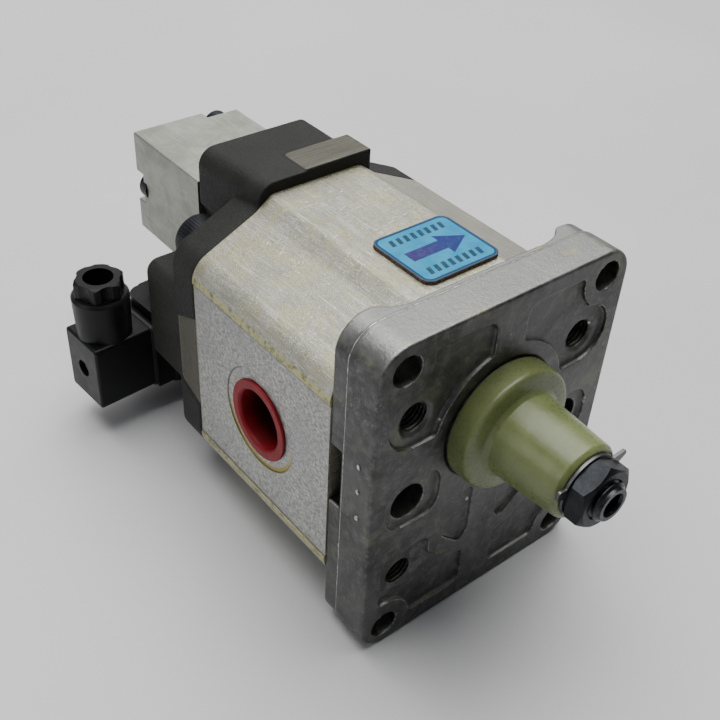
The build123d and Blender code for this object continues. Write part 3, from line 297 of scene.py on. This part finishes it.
def cast_iron_cover():
    """Near black cast iron, with a milled pad on top and a milled strip on each side."""
    g = Graph("cover_iron", Specular_IOR_Level=0.35)
    x, y, z = g.axes()
    nx, _, nz = g.facing()
    side = g.math("ABSOLUTE", x)
    pad = g.both(g.span(z, 53.85, 54.0), g.span(nz, 0.85, 0.95))
    slope = g.math("MULTIPLY", g.math("SUBTRACT", y, BODY_Y1), 0.45)
    strip = g.both(g.span(g.math("ABSOLUTE", nx), 0.85, 0.95), g.within(side, 44.0, 44.45, 0.08),
                   g.span(y, 95.8, 95.6), g.span(g.math("ADD", z, slope), 17.0, 16.4),
                   g.span(g.math("SUBTRACT", z, slope), -19.2, -18.6))
    milled = g.math("MAXIMUM", pad, strip)
    cloud = g.noise(14, 5, 0.6, 0.5)
    grain = g.noise(0.8, 4, 0.7)
    color = g.mix(g.span(cloud, 0.3, 0.7), (0.0085, 0.0085, 0.0072), (0.016, 0.016, 0.0138))
    color = g.mix(g.span(grain, 0.55, 0.75, 0.0, 0.4), color, (0.050, 0.050, 0.046))
    specks = g.span(g.noise(1.3, 6, 0.8, 0.8), 0.665, 0.70)
    color = g.mix(specks, color, (0.20, 0.20, 0.19))
    rubbed = g.math("MULTIPLY", g.worn(0.54, 0.64), g.span(grain, 0.4, 0.6, 0.0, 0.45))
    color = g.mix(rubbed, color, (0.16, 0.16, 0.15))
    lines = g.noise(0.5, 3, 0.6, 0.05, g.stretched(0.03, 1, 1))
    mill_color = g.mix(g.span(lines, 0.3, 0.7), (0.068, 0.065, 0.048), (0.120, 0.115, 0.090))
    color = g.mix(milled, color, mill_color)
    rough = g.blend(milled, g.span(grain, 0.3, 0.7, 0.52, 0.70), 0.45)
    normal = g.bump(g.noise(5, 4, 0.5), 0.20, 0.4)
    normal = g.bump(grain, 0.22, 0.75, normal)
    normal = g.bump(g.noise(1.8, 5, 0.7), 0.25, 0.6, normal)
    metal = g.blend(milled, 0.2, 0.55)
    return g.set(Base_Color=color, Roughness=rough, Normal=normal, Metallic=metal).material


def milled_alloy():
    """Milled block of light alloy, tool marks along Y."""
    g = Graph("block_alloy", Metallic=0.7)
    lines = g.noise(0.7, 4, 0.65, 0.1, g.stretched(1.0, 0.05, 1.0))
    cloud = g.noise(12, 5, 0.6, 0.7)
    fine = g.noise(0.4, 3, 0.6)
    color = g.mix(g.span(cloud, 0.3, 0.7), (0.235, 0.242, 0.205), (0.350, 0.360, 0.310))
    color = g.mix(g.span(lines, 0.50, 0.70, 0.0, 0.5), color, (0.48, 0.49, 0.435))
    color = g.mix(g.span(g.noise(0.8, 8, 0.82), 0.50, 0.62, 0.0, 0.3), color, (0.20, 0.205, 0.175))
    color = g.mix(g.span(g.noise(3, 6, 0.7, 1.0), 0.60, 0.70, 0.0, 0.3), color, (0.32, 0.32, 0.27))
    rough = g.span(lines, 0.3, 0.7, 0.40, 0.54)
    normal = g.bump(lines, 0.04, 0.5)
    normal = g.bump(fine, 0.04, 0.5, normal)
    return g.set(Base_Color=color, Roughness=rough, Normal=normal).material


def sleeve_plastic():
    """Olive green moulded plastic that lets a little light in."""
    g = Graph("sleeve_plastic", Subsurface_Weight=0.35, Subsurface_Scale=0.004, IOR=1.45)
    g.shader.inputs["Subsurface Radius"].default_value = (1.0, 0.9, 0.35)
    cloud = g.noise(9, 4, 0.5, 0.5)
    fine = g.noise(0.9, 4, 0.6)
    color = g.mix(g.span(cloud, 0.3, 0.7), (0.130, 0.155, 0.056), (0.172, 0.203, 0.080))
    rough = g.span(fine, 0.3, 0.7, 0.24, 0.38)
    normal = g.bump(g.noise(4, 3, 0.5), 0.10, 0.4)
    normal = g.bump(fine, 0.015, 0.4, normal)
    return g.set(Base_Color=color, Roughness=rough, Normal=normal).material


def red_plastic():
    """Red moulded plastic, with painted shade darkening it towards the bottom of the cap."""
    g = Graph("plug_plastic", Subsurface_Weight=0.1, Subsurface_Scale=0.002, IOR=1.45, Specular_IOR_Level=0.3)
    g.shader.inputs["Subsurface Radius"].default_value = (1.0, 0.2, 0.15)
    cloud = g.noise(6, 4, 0.6, 0.4)
    fine = g.noise(0.5, 4, 0.65)
    color = g.mix(g.span(cloud, 0.3, 0.7), (0.18, 0.0035, 0.008), (0.265, 0.007, 0.013))
    color = g.mix(g.span(fine, 0.62, 0.78, 0.0, 0.15), color, (0.50, 0.10, 0.11))
    x = g.axes()[0]
    # painted shade: the cap turns dark red deeper inside the port
    color = g.mix(g.span(g.math("ABSOLUTE", x), 44.8, 38.0, 0.0, 0.9), color, (0.035, 0.001, 0.003))
    rough = g.span(fine, 0.3, 0.7, 0.40, 0.56)
    normal = g.bump(fine, 0.03, 0.5)
    return g.set(Base_Color=color, Roughness=rough, Normal=normal).material


def dark_steel():
    """Blackened steel for the nut and the bolts."""
    g = Graph("black_steel", Metallic=0.7)
    cloud = g.noise(4, 5, 0.65, 0.4)
    fine = g.noise(0.5, 4, 0.7)
    color = g.mix(g.span(cloud, 0.3, 0.7), (0.009, 0.0105, 0.012), (0.021, 0.024, 0.028))
    color = g.mix(g.span(fine, 0.6, 0.75, 0.0, 0.35), color, (0.14, 0.145, 0.15))
    rough = g.span(fine, 0.3, 0.7, 0.34, 0.52)
    normal = g.bump(fine, 0.02, 0.5)
    return g.set(Base_Color=color, Roughness=rough, Normal=normal).material


def ground_steel(name, tone, roughness, axis=(1.0, 1.0, 1.0), tint=(1.0, 1.0, 1.0), black_from=None):
    """Turned, ground or plated metal, tool marks along the small axis; blackened ahead of y = black_from."""
    g = Graph(name, Metallic=0.95)
    lines = g.noise(0.6, 3, 0.6, 0.0, g.stretched(*axis))
    cloud = g.noise(5, 5, 0.6, 0.4)
    low = tuple(tone * 0.72 * t for t in tint)
    high = tuple(tone * t for t in tint)
    color = g.mix(g.span(cloud, 0.3, 0.7), low, high)
    color = g.mix(g.span(lines, 0.5, 0.75, 0.0, 0.4), color, tuple(min(1.0, tone * 1.25 * t) for t in tint))
    if black_from is not None:
        tip = g.span(g.axes()[1], black_from, black_from - 1.0)
        black = g.mix(g.span(cloud, 0.3, 0.7), (0.022, 0.024, 0.026), (0.060, 0.064, 0.068))
        color = g.mix(tip, color, black)
    rough = g.span(lines, 0.3, 0.7, roughness, roughness + 0.12)
    normal = g.bump(lines, 0.02, 0.5)
    return g.set(Base_Color=color, Roughness=rough, Normal=normal).material


def black_plastic(name, tone, roughness, drag):
    """Moulded black plastic with an eroded texture and faint draw marks."""
    g = Graph(name, IOR=1.5, Specular_IOR_Level=0.22)
    cloud = g.noise(7, 4, 0.6, 0.5)
    fine = g.noise(0.35, 3, 0.6)
    marks = g.noise(0.9, 3, 0.6, 0.1, g.stretched(1.0, 1.0, drag))
    low = tuple(tone * t for t in (0.80, 0.83, 0.86))
    high = tuple(tone * t for t in (1.0, 1.04, 1.08))
    color = g.mix(g.span(cloud, 0.3, 0.7), low, high)
    color = g.mix(g.span(marks, 0.58, 0.75, 0.0, 0.35), color, (tone * 2.2,) * 3)
    rough = g.span(cloud, 0.3, 0.7, roughness, roughness + 0.1)
    normal = g.bump(fine, 0.03, 0.45)
    normal = g.bump(marks, 0.03, 0.35, normal)
    return g.set(Base_Color=color, Roughness=rough, Normal=normal).material


def rubber(name, tone, roughness):
    """Matt black rubber."""
    g = Graph(name, IOR=1.5)
    fine = g.noise(0.6, 4, 0.6)
    color = g.mix(g.span(fine, 0.3, 0.7), (tone * 0.8,) * 3, (tone * 1.3,) * 3)
    rough = g.span(fine, 0.3, 0.7, roughness - 0.06, roughness + 0.06)
    return g.set(Base_Color=color, Roughness=rough, Normal=g.bump(fine, 0.02, 0.4)).material


def winding_copper():
    """Fine copper turns, drawn by a bump."""
    g = Graph("copper_wire", Metallic=0.9)
    z = g.axes()[2]
    turns = g.math("SINE", g.math("MULTIPLY", z, 2 * math.pi / 0.35))
    color = g.mix(g.span(g.noise(3, 3, 0.5), 0.3, 0.7), (0.40, 0.13, 0.05), (0.62, 0.24, 0.09))
    rough = g.span(turns, -1, 1, 0.4, 0.25)
    return g.set(Base_Color=color, Roughness=rough, Normal=g.bump(turns, 0.12)).material


def label_print():
    """Light blue plate with a dark border line and a dark brown, slightly frayed edge that is partly painted
    shade of the gap at its foot.
    """
    g = Graph("label_plate", IOR=1.45, Specular_IOR_Level=0.06)
    x, y, _ = g.axes()
    nz = g.facing()[2]
    over_x = g.math("SUBTRACT", g.math("ABSOLUTE", g.math("SUBTRACT", x, LABEL_X)), LABEL_W / 2 - LABEL_R)
    over_y = g.math("SUBTRACT", g.math("ABSOLUTE", g.math("SUBTRACT", y, LABEL_Y)), LABEL_L / 2 - LABEL_R)
    out_x = g.math("MAXIMUM", over_x, 0.0)
    out_y = g.math("MAXIMUM", over_y, 0.0)
    corner = g.math("SQRT", g.math("ADD", g.math("MULTIPLY", out_x, out_x), g.math("MULTIPLY", out_y, out_y)))
    inside = g.math("MINIMUM", g.math("MAXIMUM", over_x, over_y), 0.0)
    edge = g.math("SUBTRACT", g.math("ADD", corner, inside), LABEL_R)
    cloud = g.noise(5, 4, 0.6)
    color = g.mix(g.span(cloud, 0.3, 0.7), (0.022, 0.235, 0.42), (0.040, 0.30, 0.50))
    color = g.mix(g.within(edge, -1.15, -0.45, 0.12), color, (0.020, 0.055, 0.13))
    color = g.mix(g.span(edge, -0.5, -0.3), color, (0.07, 0.08, 0.10))
    sides = g.span(nz, 0.85, 0.6)
    # the sides: a dark brown frayed edge, partly painted shade of the gap at the plate's foot
    fray_and_gap_shade = g.mix(g.span(g.noise(0.9, 4, 0.7), 0.35, 0.65), (0.045, 0.035, 0.030), (0.17, 0.12, 0.09))
    color = g.mix(sides, color, fray_and_gap_shade)
    rough = g.blend(sides, g.span(g.noise(1.2, 4, 0.6), 0.3, 0.7, 0.45, 0.6), 0.75)
    normal = g.bump(g.noise(3, 4, 0.5), 0.05, 0.4)
    return g.set(Base_Color=color, Roughness=rough, Normal=normal).material


def label_ink(name, first, second):
    """Printed ink that turns from the first colour to the second along X."""
    g = Graph(name, IOR=1.45, Specular_IOR_Level=0.06)
    x = g.axes()[0]
    color = g.mix(g.span(x, -6, 10), first, second)
    color = g.mix(g.span(g.noise(1.1, 4, 0.6), 0.45, 0.7, 0.0, 0.15), color, (0.10, 0.25, 0.42))
    return g.set(Base_Color=color, Roughness=g.span(g.noise(1.2, 3, 0.6), 0.3, 0.7, 0.30, 0.42)).material


MATERIALS = {
    "flange_casting": cast_flange(),
    "body_casting": extruded_body(),
    "cover_iron": cast_iron_cover(),
    "block_alloy": milled_alloy(),
    "sleeve_plastic": sleeve_plastic(),
    "plug_plastic": red_plastic(),
    "black_steel": dark_steel(),
    "gear_steel": ground_steel("gear_steel", 0.46, 0.26, (1.0, 0.05, 1.0), black_from=-28.0),
    "washer_steel": ground_steel("washer_steel", 0.13, 0.36),
    "zinc_steel": ground_steel("zinc_steel", 0.55, 0.30, (1.0, 1.0, 0.05), (1.0, 0.98, 0.90)),
    "spring_steel": ground_steel("spring_steel", 0.22, 0.36),
    "bearing_alloy": ground_steel("bearing_alloy", 0.62, 0.34),
    "bush_bronze": ground_steel("bush_bronze", 0.60, 0.32, (1.0, 0.05, 1.0), (1.0, 0.72, 0.40)),
    "copper_wire": winding_copper(),
    "connector_plastic": black_plastic("connector_plastic", 0.0055, 0.36, 0.04),
    "coil_plastic": black_plastic("coil_plastic", 0.0045, 0.34, 1.0),
    "seal_rubber": rubber("seal_rubber", 0.016, 0.62),
    "label_plate": label_print(),
}
ARROW_INK = label_ink("label_arrow_ink", (0.045, 0.030, 0.14), (0.018, 0.036, 0.17))
MARK_INK = label_ink("label_mark_ink", (0.018, 0.060, 0.085), (0.018, 0.055, 0.10))


# ---------------------------------------------------------------- meshes
def plain_mesh(node):
    """A CAD node's own triangles, with the vertices that its faces share joined."""
    source = frame["nodes"][node].data
    mesh = bpy.data.meshes.new(node + "_plain")
    mesh.from_pydata([v.co for v in source.vertices], [], [tuple(p.vertices) for p in source.polygons])
    bm = bmesh.new()
    bm.from_mesh(mesh)
    bmesh.ops.remove_doubles(bm, verts=bm.verts, dist=0.002 * MM)
    bmesh.ops.recalc_face_normals(bm, faces=bm.faces)
    bm.to_mesh(mesh)
    bm.free()
    return mesh


def new_piece(name, mesh, material):
    """A mesh as an object of its own, in one material."""
    piece = bpy.data.objects.new(name, mesh)
    bpy.context.scene.collection.objects.link(piece)
    mesh.materials.clear()
    mesh.materials.append(material)
    return piece


def stand_for(piece, node):
    """Let a piece take a CAD node's place and body."""
    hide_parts(node)
    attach(piece, NODE_BODY[node])
    return piece


def baked(piece):
    """Apply a piece's modifiers to its mesh."""
    bpy.context.view_layer.update()
    graph = bpy.context.evaluated_depsgraph_get()
    mesh = bpy.data.meshes.new_from_object(piece.evaluated_get(graph))
    piece.modifiers.clear()
    piece.data = mesh
    return piece


def smooth_by_angle(mesh, angle):
    """Shade smooth, but keep edges sharper than the angle in degrees."""
    mesh.polygons.foreach_set("use_smooth", [True] * len(mesh.polygons))
    mesh.set_sharp_from_angle(angle=math.radians(angle))


def softened(name, node, voxel, passes, keep):
    """A casting: the CAD shape rebuilt on a fine grid, so its edges and corners turn round."""
    piece = new_piece(name, plain_mesh(node), MATERIALS[NODE_SLOT[node]])
    grid = piece.modifiers.new("grid", "REMESH")
    grid.mode = "VOXEL"
    grid.voxel_size = voxel * MM
    relax = piece.modifiers.new("relax", "SMOOTH")
    relax.factor = 0.5
    relax.iterations = passes
    if keep < 1.0:
        thin = piece.modifiers.new("thin", "DECIMATE")
        thin.ratio = keep
    baked(piece)
    piece.data.polygons.foreach_set("use_smooth", [True] * len(piece.data.polygons))
    return stand_for(piece, node)


def bevelled(name, node, width, segments=2, angle=30.0):
    """A machined or moulded piece: flat faces merged, then every sharp edge broken."""
    mesh = plain_mesh(node)
    bm = bmesh.new()
    bm.from_mesh(mesh)
    bmesh.ops.dissolve_limit(bm, angle_limit=math.radians(0.6), verts=bm.verts, edges=bm.edges)
    bm.to_mesh(mesh)
    bm.free()
    piece = new_piece(name, mesh, MATERIALS[NODE_SLOT[node]])
    edge = piece.modifiers.new("edge", "BEVEL")
    edge.width = width * MM
    edge.segments = segments
    edge.limit_method = "ANGLE"
    edge.angle_limit = math.radians(angle)
    edge.use_clamp_overlap = True
    baked(piece)
    smooth_by_angle(piece.data, 38.0)
    even = piece.modifiers.new("even", "WEIGHTED_NORMAL")
    even.keep_sharp = True
    baked(piece)
    return stand_for(piece, node)


def lathed(name, profile, x, z, segments, shapes):
    """Turn (radius, y, kind) points about a line parallel to Y; shapes maps a kind to radius(angle, r)."""
    bm = bmesh.new()
    rings = []
    for r, y, kind in profile:
        ring = []
        for i in range(segments):
            a = 2 * math.pi * i / segments
            radius = shapes[kind](a, r) if kind in shapes else r
            across = x + radius * math.cos(a)
            up = z + radius * math.sin(a)
            ring.append(bm.verts.new((across * MM, y * MM, up * MM)))
        rings.append(ring)
    for one, two in zip(rings, rings[1:]):
        for i in range(segments):
            j = (i + 1) % segments
            bm.faces.new((one[i], one[j], two[j], two[i]))
    bm.faces.new(rings[0][::-1])
    bm.faces.new(rings[-1])
    bmesh.ops.recalc_face_normals(bm, faces=bm.faces)
    mesh = bpy.data.meshes.new(name)
    bm.to_mesh(mesh)
    bm.free()
    return mesh


def joined(name, meshes, material):
    """Several meshes as one piece."""
    bm = bmesh.new()
    for mesh in meshes:
        bm.from_mesh(mesh)
    whole = bpy.data.meshes.new(name)
    bm.to_mesh(whole)
    bm.free()
    return new_piece(name, whole, material)


# castings
softened("flange_casting", "front_flange", 0.34, 2, 0.5)
softened("cover_casting", "rear_cover", 0.42, 5, 0.5)

# machined and moulded pieces
bevelled("body_extrusion", "pump_body", 0.28)
bevelled("valve_block_milled", "valve_block", 0.35)
bevelled("valve_screws_capped", "valve_block_screws", 0.25)
bevelled("sleeve_moulding", "protective_sleeve", 0.4, 3)
bevelled("port_cap_left", "port_plug_left", 0.35, 3)
bevelled("port_cap_right", "port_plug_right", 0.35, 3)
bevelled("nut_hexagon", "shaft_nut", 0.25)
bevelled("washer_tabbed", "tab_washer", 0.18)
bevelled("coil_moulding", "coil_body", 0.8, 3)
bevelled("coil_nut_moulding", "coil_nut", 0.3)
bevelled("connector_box", "connector_housing", 0.45, 3)
bevelled("connector_seal", "connector_gasket", 0.25)
bevelled("gland_nut_moulding", "gland_nut", 0.45, 3)
bevelled("cover_screw", "connector_screw", 0.12)
bevelled("cartridge_turned", "cartridge_body", 0.2)


def knurl(angle, radius):
    """48 shallow grooves round a bolt head."""
    return radius - 0.20 * (0.5 + 0.5 * math.cos(48 * angle))


def hexagonal(angle, radius):
    """A hexagon whose flats lie at the radius."""
    return radius / math.cos((angle + math.pi / 6) % (math.pi / 3) - math.pi / 6)


def tie_bolt_meshes():
    """Socket head bolts with knurled heads; the thread shows at each tip."""
    seat, top, tip = 96.8, 106.2, 9.4
    shank_r, head_r, root_r, socket_r = 4.88, 7.8, 4.25, 4.05
    thread_end, pitch = 40, 1.5
    meshes = []
    for x, z in TIE_PLACES:
        profile = [(0.6, tip, ""), (3.6, tip, ""), (4.4, tip + 0.7, "")]
        y = tip + 0.9
        while y < thread_end:
            profile += [(root_r, y, ""), (shank_r, y + 0.6, ""), (shank_r, y + 0.75, "")]
            y += pitch
        profile += [(shank_r, thread_end + 1, ""), (shank_r, seat, ""), (head_r - 0.6, seat, ""),
                    (head_r - 0.2, seat + 0.3, ""), (head_r, seat + 0.7, "knurl"),
                    (head_r, top - 1.1, "knurl"), (head_r - 0.2, top - 0.6, ""),
                    (head_r - 0.7, top - 0.1, ""), (head_r - 0.9, top, ""), (socket_r + 0.3, top, "hex"),
                    (socket_r, top - 0.35, "hex"), (socket_r, top - 5, "hex"), (0.6, top - 6.2, "")]
        meshes.append(lathed("tie_bolt", profile, x, z, 192, {"knurl": knurl, "hex": hexagonal}))
    return meshes


bolts = joined("tie_bolts_knurled", tie_bolt_meshes(), MATERIALS["black_steel"])
smooth_by_angle(bolts.data, 40)
stand_for(bolts, "tie_bolts")


# ---------------------------------------------------------------- small features on the flange and label
def rounded_outline(width, height, radius, step):
    """Points and outward normals round a rounded rectangle in X-Z."""
    corners = [(1, 1, 0), (-1, 1, 90), (-1, -1, 180), (1, -1, 270)]
    outline = []
    for sx, sz, start in corners:
        cx, cz = sx * (width / 2 - radius), sz * (height / 2 - radius)
        for i in range(13):
            a = math.radians(start + 90 * i / 12)
            outline.append((cx + radius * math.cos(a), cz + radius * math.sin(a), math.cos(a), math.sin(a)))
    dense = []
    for one, two in zip(outline, outline[1:] + outline[:1]):
        gap = math.hypot(two[0] - one[0], two[1] - one[1])
        parts = max(1, int(gap / step))
        for i in range(parts):
            t = i / parts
            dense.append([one[k] + (two[k] - one[k]) * t for k in range(4)])
    return dense


def flash_line():
    """The ragged ridge left along the die's parting line."""
    bm = bmesh.new()
    rows = []
    for x, z, nx, nz in rounded_outline(FLANGE_W, FLANGE_H, FLANGE_R, 0.9):
        tall = 0.06 * (random.random() - 1.0)
        half = 0.16 + 0.10 * random.random()
        y = PARTING_Y + 0.10 * (random.random() - 0.5)
        low = -0.4
        ridge = ((low, -half), (tall - 0.03, -half * 0.4), (tall, 0.0), (tall - 0.08, half * 0.8),
                 (low, half))
        rows.append([bm.verts.new(((x + nx * h) * MM, (y + dy) * MM, (z + nz * h) * MM)) for h, dy in ridge])
    for one, two in zip(rows, rows[1:] + rows[:1]):
        for i in range(5):
            j = (i + 1) % 5
            bm.faces.new((one[i], one[j], two[j], two[i]))
    bmesh.ops.recalc_face_normals(bm, faces=bm.faces)
    mesh = bpy.data.meshes.new("flange_flash")
    bm.to_mesh(mesh)
    bm.free()
    return mesh


def burr_meshes():
    """Three small chipped marks on the flange's left side."""
    meshes = []
    for y, z in BURR_PLACES:
        bm = bmesh.new()
        bmesh.ops.create_icosphere(bm, subdivisions=2, radius=BURR_R * MM)
        for v in bm.verts:
            v.co *= 0.75 + 0.5 * random.random()
            v.co.x *= 0.45
            v.co.y *= 0.8
        bmesh.ops.translate(bm, verts=bm.verts, vec=((-FLANGE_W / 2 - 0.02) * MM, y * MM, z * MM))
        mesh = bpy.data.meshes.new("burr")
        bm.to_mesh(mesh)
        bm.free()
        meshes.append(mesh)
    return meshes


def bright_burr():
    """Bright metal of the flash line and the chipped marks."""
    g = Graph("flash_metal", Metallic=0.85)
    rag = g.noise(1.1, 4, 0.7)
    color = g.mix(g.span(rag, 0.35, 0.65), (0.26, 0.26, 0.255), (0.72, 0.72, 0.70))
    rough = g.span(rag, 0.3, 0.7, 0.42, 0.28)
    return g.set(Base_Color=color, Roughness=rough, Normal=g.bump(rag, 0.08, 0.5)).material


BURR = bright_burr()
flash = new_piece("flange_flash", flash_line(), BURR)
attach(flash, "casing")
burrs = joined("flange_burrs", burr_meshes(), BURR)
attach(burrs, "casing")


def thin_prints(name, outlines, material, height=0.035):
    """Flat ink shapes, a few hundredths of a millimetre thick, on the label's top."""
    bm = bmesh.new()
    for outline in outlines:
        low = [bm.verts.new((x * MM, y * MM, (LABEL_TOP - 0.02) * MM)) for x, y in outline]
        face = bm.faces.new(low)
        raised = bmesh.ops.extrude_face_region(bm, geom=[face])
        top = [v for v in raised["geom"] if isinstance(v, bmesh.types.BMVert)]
        bmesh.ops.translate(bm, verts=top, vec=(0, 0, (height + 0.02) * MM))
    bmesh.ops.recalc_face_normals(bm, faces=bm.faces)
    mesh = bpy.data.meshes.new(name)
    bm.to_mesh(mesh)
    bm.free()
    piece = new_piece(name, mesh, material)
    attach(piece, "casing")


ARROW = [(-9.6, 2.2), (2.6, 2.2), (2.6, 4.9), (10.9, 0.0), (2.6, -4.9), (2.6, -2.2), (-9.6, -2.2)]
thin_prints("label_arrow", [[(LABEL_X + x, LABEL_Y + y) for x, y in ARROW]], ARROW_INK)
DASH_COUNT, DASH_STEP, DASH_W, DASH_LEAN, DASH_HALF = 8, 2.55, 1.35, 0.55, 1.5
DASHES = []
for row in (-7.9, 7.9):
    for i in range(DASH_COUNT):
        x0 = LABEL_X - 9.9 + i * DASH_STEP
        low, high = LABEL_Y + row - DASH_HALF, LABEL_Y + row + DASH_HALF
        DASHES.append([(x0, low), (x0 + DASH_W, low), (x0 + DASH_W + DASH_LEAN, high),
                       (x0 + DASH_LEAN, high)])
thin_prints("label_marks", DASHES, MARK_INK)

# every CAD node gets its own material
for node, piece in frame["nodes"].items():
    piece.data.materials.clear()
    piece.data.materials.append(MATERIALS[NODE_SLOT[node]])


# ---------------------------------------------------------------- floor, light, camera
def floor_material():
    """Pale, slightly uneven studio floor."""
    g = Graph("studio_floor", Roughness=0.55)
    soft = g.noise(160, 3, 0.5)
    color = g.mix(g.span(soft, 0.3, 0.7), (0.60, 0.60, 0.61), (0.64, 0.64, 0.65))
    return g.set(Base_Color=color).material


# the pump lies on the flange's lower edge and the rear cover's foot
FLOOR_Z, FLOOR_TILT = -55.9 * MM, math.atan2(5.8, 96.0)
floor_mesh = bpy.data.meshes.new("floor")
half = 6.0
floor_corners = [(-half, -half, 0), (half, -half, 0), (half, half, 0), (-half, half, 0)]
floor_mesh.from_pydata(floor_corners, [], [(0, 1, 2, 3)])
floor = new_piece("floor", floor_mesh, floor_material())
floor.matrix_world = Matrix.Translation((0, 0, FLOOR_Z)) @ Matrix.Rotation(FLOOR_TILT, 4, "X")


def area_light(name, place, aim, width, height, power):
    """A white area light, aimed at a point; lengths in metres."""
    data = bpy.data.lights.new(name, "AREA")
    data.shape = "RECTANGLE"
    data.size, data.size_y = width, height
    data.energy = power
    light = bpy.data.objects.new(name, data)
    bpy.context.scene.collection.objects.link(light)
    light.location = place
    light.rotation_mode = "QUATERNION"
    light.rotation_quaternion = (Vector(aim) - Vector(place)).to_track_quat("-Z", "Y")


area_light("ceiling", (0.12, 0.32, 1.45), (0.0, 0.10, 0.0), 1.6, 1.2, 38.5)
area_light("rear", (0.95, 1.10, 1.15), (0.0, 0.05, 0.0), 1.3, 0.9, 9.0)
area_light("window", (-1.25, 0.35, 0.60), (0.0, 0.05, 0.0), 0.8, 0.6, 3.5)

world = bpy.data.worlds.new("studio")
world.use_nodes = True
world.node_tree.nodes["Background"].inputs["Color"].default_value = (0.93, 0.95, 1.0, 1.0)
world.node_tree.nodes["Background"].inputs["Strength"].default_value = 0.12
bpy.context.scene.world = world

CAMERA_AT = Vector((-169.03, -137.59, 203.37)) * MM
AZIMUTH, ELEVATION, ROLL = math.radians(-40.614), math.radians(38.524), math.radians(3.446)
camera_data = bpy.data.cameras.new("camera")
camera_data.sensor_width = 36.0
camera_data.lens = 51.98
camera_data.shift_y = -1.0 / 720.0
camera_data.clip_start = 0.01
camera = bpy.data.objects.new("camera", camera_data)
bpy.context.scene.collection.objects.link(camera)
reach = math.cos(ELEVATION)
back = Vector((math.sin(AZIMUTH) * reach, -math.cos(AZIMUTH) * reach, math.sin(ELEVATION)))
level = (-back).to_track_quat("-Z", "Y").to_matrix()
camera.matrix_world = Matrix.Translation(CAMERA_AT) @ (level @ Matrix.Rotation(ROLL, 3, "Z")).to_4x4()
bpy.context.scene.camera = camera
